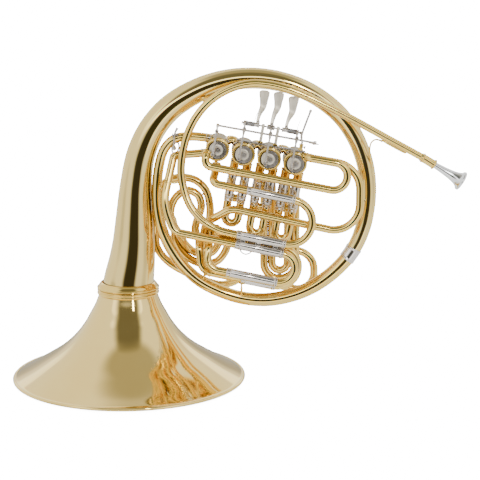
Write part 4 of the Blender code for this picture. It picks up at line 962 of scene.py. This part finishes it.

# water key lever with its pad cup
wk = catmull([(67.5, -19.5, 338.0), (64.5, -19.5, 331.5), (63, -19.5, 318), (63, -19.5, 311)], 1.2)
tube("water_key", wk, STEEL, smooth([(0, 2.1), (4, 1.5), (14, 1.3), (28, 1.7)]), "water_key", ["water_key"], 20)
turned("water_key_cup", [(0, -2.2), (2.9, -2.2), (3.1, -1.8), (3.1, 0.2), (2.3, 0.9), (1.0, 1.3), (0, 1.3)],
       (63, -18.6, 311.5), (0, -1, 0), STEEL, "water_key", seg=32)

# ------------------------------------------------------------ trim and stays
bx = Vector((376.0, -24, 306.0))
wire = [(356.5, -24, 306.2), (351.5, -24, 307.4), (345.2, -23.0, 306.4), (341.0, -20.0, 301.5), (338.2, -14.0, 293.0),
        (334.6, -8.0, 283.5), (330.4, -4.0, 276.5)]
wire = [(331.2, -24, 321.0), (327.7, -24, 322.6), (322.0, -23.4, 323.4), (317.0, -21.5, 319.5), (315.2, -18.0, 308.5),
        (316.4, -12.5, 298.5), (318.6, -7.6, 290.0)]
tube("leadpipe_brace", catmull(wire, 1.2), BRASS, smooth([(0, 1.7), (6, 1.15), (34, 1.15), (48, 1.7)]), HORN, (), 18)
tube("f_slide_pull_ring", catmull([(147.5, -36, 182.6), (149.6, -36, 178.6), (154.5, -36, 175.6), (159.8, -36, 176.6),
                                   (163.3, -36, 179.4)], 1.0), NICKEL, 0.95, HORN, (), 16)

STAYS = [
    ("stay_top", (161, -18.6, 396.2), (161, -12.2, 398.0), (1, 0, 0.05), (1, 0, 0.02)),
    ("stay_top_left", (103.5, -19.0, 367.5), (100.5, -12.6, 376.0), (0.75, 0, 0.66), (0.85, 0, 0.5)),
    ("stay_top_right", (236, -18.8, 378.5), (237, -12.2, 381.0), (0.9, 0, -0.43), (0.9, 0, -0.43)),
    ("stay_right", (304.6, -20.2, 241.0), (309.0, -8.2, 241.0), (0, 0, 1), (0, 0, 1)),
    ("stay_lower_left", (76.0, -4.0, 158.6), (76.0, 12.8, 143.0), (0.8, 0, -0.6), (0.8, 0, -0.5)),
    ("stay_left", (40.0, -1.4, 240.0), (39.0, 9.8, 240.0), (0, 0, 1), (0, 0, 1)),
    ("stay_rear_1", (180, 31.2, 173.6), (180, 33.8, 173.6), (0, 0, 1), (0.979, 0, -0.2)),
    ("stay_rear_2", (222, 31.2, 164.9), (222, 33.8, 164.9), (0, 0, 1), (0.979, 0, -0.2)),
    ("stay_loop", (201, 26, 124.2), (201, 26, 134.6), (1, 0, 0), (1, 0, 0)),
    ("stay_f_outlet", (104.5, -32.0, 152.2), (99.0, -10.6, 137.2), (0.979, 0, -0.2), (0.9, 0, -0.4)),
    ("stay_b_outlet", (150, -23.6, 134.5), (150, -7.4, 114.5), (0.979, 0, -0.2), (1, 0, 0)),
    ("stay_pipe_left", (74.5, -24.6, 268.0), (52.0, -30.0, 268.0), (0.1, 0, 1), (0.1, 0, 1)),
    ("stay_left_pair", (51.0, -27.0, 260.0), (44.5, -15.0, 262.0), (0, 0, 1), (0, 0, 1)),
    ("stay_coil", (103.6, 13.4, 250.0), (96.6, 12.2, 243.0), (-0.5, 0, 0.8), (-0.5, 0, 0.8)),
    ("stay_return_pair", tuple(row(60, -22.0, -31.5)), tuple(row(60, -31.4, -27.5)), tuple(E), tuple(E)),
]
for nm, a, b, na, nb in STAYS:
    stay(nm, a, b, na, nb, NICKEL if nm in ("stay_right", "stay_lower_left", "stay_left") else BRASS)

# saddles between the two neighbouring nickel sleeves
for i, q in enumerate((10.0, 33.0, 53.0)):
    m = F_HIGH - SD * q + SN * 6.9 + YV * -1.0
    slab("sleeve_saddle%d" % (i + 1), [m + SD * 3.2 - SN * 1.6 + YV * 2.6, m + SD * 3.2 + SN * 1.6 + YV * 2.6,
                                       m + SD * 3.2 + SN * 1.6 - YV * 2.6, m + SD * 3.2 - SN * 1.6 - YV * 2.6],
         tuple(-SD * 6.4), NICKEL, HORN, (), bevel=0.5)

# rings where tubes enter the valves and each other
JOINTS = [
    (branch, b_len - 5.0, 5.45, 7.0), (v4r, 5.0, TUBE_R, 7.0), (v4o, 5.0, TUBE_R, 7.0),
    (fin, lengths(fin)[-1] - 5.0, TUBE_R, 7.0), (fin, lengths(fin)[-1] - 44.0, TUBE_R, 6.0),
    (v4r, lengths(v4r)[-1] - 5.0, TUBE_R, 6.0), (mret, lengths(mret)[-1] - 4.0, TUBE_R, 6.0),
    (fout, 92.0, TUBE_R, 6.0), (bout, 86.0, TUBE_R, 6.0),
]
for i, (pth, q, r, w_) in enumerate(JOINTS):
    ring_at("tube_ring%d" % (i + 1), pth, q, r + 0.1, w_, NICKEL if i in (0, 3) else BRASS)
ring_at("pipe_ring", portion(lead, 60.0, ll - 14), ll - 250.0, 5.25, 7.0, BRASS)

# oval-windowed strap between the two tubes at the left of valve 1
bm = bmesh.new()
oc, NS = Vector((64.5, -19.0, 311.5)), 48
ou, ow = Vector((0.28, 0, 0.96)), Vector((0.96, 0, -0.28))
loops = []
for rr_, y in (((8.6, 5.2), -0.9), ((8.6, 5.2), 0.9), ((6.4, 3.3), 0.9), ((6.4, 3.3), -0.9)):
    loops.append([bm.verts.new(P(oc + ou * (rr_[0] * math.cos(t)) + ow * (rr_[1] * math.sin(t)) + YV * (y + 6.5)))
                  for t in (2 * math.pi * j / NS for j in range(NS))])
for r0, r1 in zip(loops, loops[1:] + loops[:1]):
    for j in range(NS):
        bm.faces.new((r0[j], r0[(j + 1) % NS], r1[(j + 1) % NS], r1[j]))
publish(bm, "window_strap", NICKEL, HORN, bevel=0.25)
for i, s_ in enumerate((-1, 1)):
    p = oc + ou * (8.4 * s_) + YV * 5.6
    turned("window_strap_post%d" % (i + 1), [(0, -2.6), (1.9, -2.6), (2.1, -2.0), (2.1, 1.6), (1.6, 2.1), (0, 2.2)], p, -YV,
           NICKEL, HORN, seg=24)

# water key hinge: two cheeks and a pin
for i, s_ in enumerate((-1, 1)):
    slab("water_key_cheek%d" % (i + 1), [Vector((64.5 + 2.6 * s_, -21.0, 331.5)), Vector((64.5 + 2.6 * s_, -17.6, 331.5)),
                                         Vector((64.5 + 2.6 * s_, -13.5, 325.5)), Vector((64.5 + 2.6 * s_, -17.5, 325.0)),
                                         Vector((64.5 + 2.6 * s_, -21.0, 327.0))], (0.9 * s_, 0, 0), NICKEL, HORN, (), bevel=0.2)
turned("water_key_pin", [(0, -4.2), (1.0, -4.0), (1.0, 4.0), (0, 4.2)], (64.5, -19.5, 329), (1, 0, 0), SPRING, HORN, seg=20)

# ------------------------------------------------------ floor, light, camera
def floor_material():
    m = bpy.data.materials.new("pale_floor")
    m.use_nodes = True
    nt = m.node_tree
    b = nt.nodes["Principled BSDF"]
    n1 = nt.nodes.new("ShaderNodeTexNoise")
    n1.inputs["Scale"].default_value = 6.0
    n1.inputs["Detail"].default_value = 8.0
    tc = nt.nodes.new("ShaderNodeTexCoord")
    nt.links.new(tc.outputs["Object"], n1.inputs["Vector"])
    r_ = nt.nodes.new("ShaderNodeValToRGB")
    r_.color_ramp.elements[0].color = (0.90, 0.90, 0.90, 1)
    r_.color_ramp.elements[1].color = (0.93, 0.93, 0.93, 1)
    nt.links.new(n1.outputs["Fac"], r_.inputs["Fac"])
    nt.links.new(r_.outputs["Color"], b.inputs["Base Color"])
    b.inputs["Roughness"].default_value = 0.9
    b.inputs["Specular IOR Level"].default_value = 0.1
    b.inputs["Emission Color"].default_value = (1, 1, 1, 1)
    b.inputs["Emission Strength"].default_value = 14.0
    return m


me = bpy.data.meshes.new("studio_floor")
bm = bmesh.new()
W_, SEG = 9.0, 24
prof = [(-5.0, 0.0), (2.2, 0.0)] + [(2.2 + 2.2 * math.sin(math.radians(a)), 2.2 - 2.2 * math.cos(math.radians(a)))
                                   for a in range(6, 91, 6)] + [(4.4, 8.0)]
cols = [[bm.verts.new((x, y, z - 0.0008)) for y, z in prof] for x in (-W_, W_)]
for i in range(len(prof) - 1):
    bm.faces.new((cols[0][i], cols[1][i], cols[1][i + 1], cols[0][i + 1]))
bm.to_mesh(me)
bm.free()
me.shade_smooth()
me.materials.append(floor_material())
floor = bpy.data.objects.new("studio_floor", me)
bpy.context.scene.collection.objects.link(floor)
floor.visible_glossy = False      # the lacquer mirrors the room, not the paper sweep

world = bpy.data.worlds.new("studio")
bpy.context.scene.world = world
world.use_nodes = True
nt = world.node_tree
bg = nt.nodes["Background"]
tc = nt.nodes.new("ShaderNodeTexCoord")
last = None
base = nt.nodes.new("ShaderNodeRGB")
base.outputs[0].default_value = (0.92, 0.92, 0.90, 1)
last = base.outputs[0]
CARDS = [((0.05, -0.10, 1.0), 0.85, 0.95, (0.36, 0.35, 0.30)),          # ceiling, darker than the walls
         ((-0.92, -0.30, -0.22), 0.93, 0.99, (0.60, 0.59, 0.53)),
         ((0.95, -0.25, 0.0), 0.93, 0.99, (0.62, 0.60, 0.54)),
         ((0.60, -0.70, 0.42), 0.955, 0.985, (1.7, 1.7, 1.7)),
         ((-0.62, -0.66, 0.42), 0.955, 0.985, (1.5, 1.5, 1.5)),
         ((0.55, 0.80, 0.10), 0.90, 0.98, (0.70, 0.68, 0.62))]
for d, lo, hi, col in CARDS:
    vm = nt.nodes.new("ShaderNodeVectorMath")
    vm.operation = "DOT_PRODUCT"
    vm.inputs[1].default_value = Vector(d).normalized()
    nt.links.new(tc.outputs["Generated"], vm.inputs[0])
    mr = nt.nodes.new("ShaderNodeMapRange")
    mr.interpolation_type = "SMOOTHSTEP"
    mr.inputs["From Min"].default_value = lo
    mr.inputs["From Max"].default_value = hi
    nt.links.new(vm.outputs["Value"], mr.inputs["Value"])
    mx = nt.nodes.new("ShaderNodeMix")
    mx.data_type = "RGBA"
    nt.links.new(mr.outputs["Result"], mx.inputs[0])
    nt.links.new(last, mx.inputs[6])
    mx.inputs[7].default_value = (*col, 1)
    last = mx.outputs[2]
# dark end of the room in front of the horn: a wide, low rectangle
sx = nt.nodes.new("ShaderNodeSeparateXYZ")
nt.links.new(tc.outputs["Generated"], sx.inputs[0])


def mth(op, a, b=None):
    n = nt.nodes.new("ShaderNodeMath")
    n.operation = op
    for i, v in enumerate((a, b)):
        if v is None:
            continue
        if isinstance(v, (int, float)):
            n.inputs[i].default_value = v
        else:
            nt.links.new(v, n.inputs[i])
    return n.outputs[0]


def step(v, lo, hi):
    n = nt.nodes.new("ShaderNodeMapRange")
    n.interpolation_type = "SMOOTHSTEP"
    n.inputs["From Min"].default_value = lo
    n.inputs["From Max"].default_value = hi
    n.inputs["To Min"].default_value = 1.0
    n.inputs["To Max"].default_value = 0.0
    nt.links.new(v, n.inputs["Value"])
    return n.outputs[0]


def lay(mask_, col, under):
    mx_ = nt.nodes.new("ShaderNodeMix")
    mx_.data_type = "RGBA"
    nt.links.new(mask_, mx_.inputs[0])
    nt.links.new(under, mx_.inputs[6])
    mx_.inputs[7].default_value = (*col, 1)
    return mx_.outputs[2]


front = mth("MAXIMUM", mth("MULTIPLY", sx.outputs["Y"], -1.0), 0.001)
ax = mth("ABSOLUTE", mth("ADD", mth("DIVIDE", sx.outputs["X"], front), -0.06))
up_ = mth("DIVIDE", sx.outputs["Z"], front)
# a grey column climbing from it to the ceiling
high = mth("MULTIPLY", step(ax, 0.55, 1.25), mth("SUBTRACT", 1.0, step(up_, 0.44, 0.56)))
high = mth("MULTIPLY", high, step(up_, 1.5, 4.0))
last = lay(high, (0.125, 0.123, 0.108), last)
# long light strips above and below it
last = lay(mth("MULTIPLY", step(ax, 0.55, 0.95), step(mth("ABSOLUTE", mth("SUBTRACT", up_, 0.365)), 0.06, 0.11)), (2.5, 2.5, 2.45), last)
last = lay(mth("MULTIPLY", step(ax, 0.55, 0.95), step(mth("ABSOLUTE", mth("ADD", up_, 0.52)), 0.09, 0.17)), (1.5, 1.5, 1.45), last)
last = lay(mth("MULTIPLY", step(ax, 0.36, 0.74), step(mth("ABSOLUTE", mth("ADD", up_, 0.06)), 0.25, 0.35)), (0.034, 0.031, 0.022), last)
back = mth("MAXIMUM", sx.outputs["Y"], 0.001)
axb = mth("ABSOLUTE", mth("DIVIDE", sx.outputs["X"], back))
upb = mth("DIVIDE", sx.outputs["Z"], back)
last = lay(mth("MULTIPLY", step(axb, 0.55, 0.95), step(mth("ABSOLUTE", mth("SUBTRACT", upb, 0.44)), 0.08, 0.14)), (1.5, 1.5, 1.45), last)
last = lay(mth("MULTIPLY", step(axb, 0.30, 0.62), step(mth("ABSOLUTE", mth("ADD", upb, 0.02)), 0.18, 0.32)), (0.40, 0.39, 0.35), last)
lp = nt.nodes.new("ShaderNodeLightPath")
last = lay(lp.outputs["Is Camera Ray"], (8.0, 8.0, 8.0), last)      # seen directly, the room is plain pale paper
nt.links.new(last, bg.inputs["Color"])
bg.inputs["Strength"].default_value = 1.6


def area(name, loc, aim, size, power, col=(1, 1, 1)):
    li = bpy.data.lights.new(name, "AREA")
    li.shape = "RECTANGLE"
    li.size, li.size_y = size
    li.energy = power
    li.color = col
    ob = bpy.data.objects.new(name, li)
    ob.location = loc
    ob.rotation_euler = (Vector(aim) - Vector(loc)).to_track_quat("-Z", "Y").to_euler()
    bpy.context.scene.collection.objects.link(ob)
    return ob


area("softbox_right", (0.55, -1.75, 1.05), (-0.1, 0, 0.25), (0.14, 0.42), 5)
area("softbox_top", (0.2, 1.0, 2.6), (0, 0, 0.1), (2.6, 2.2), 30).visible_glossy = False

cam_d = bpy.data.cameras.new("photo_camera")
cam_d.lens, cam_d.sensor_width = 120.0, 36.0
cam_d.clip_end = 50.0
cam = bpy.data.objects.new("photo_camera", cam_d)
cam.location = (0.0047, -2.0617, 0.6175)
cam.rotation_euler = (math.radians(90 - 11.8), 0, 0)
bpy.context.scene.collection.objects.link(cam)
bpy.context.scene.camera = cam
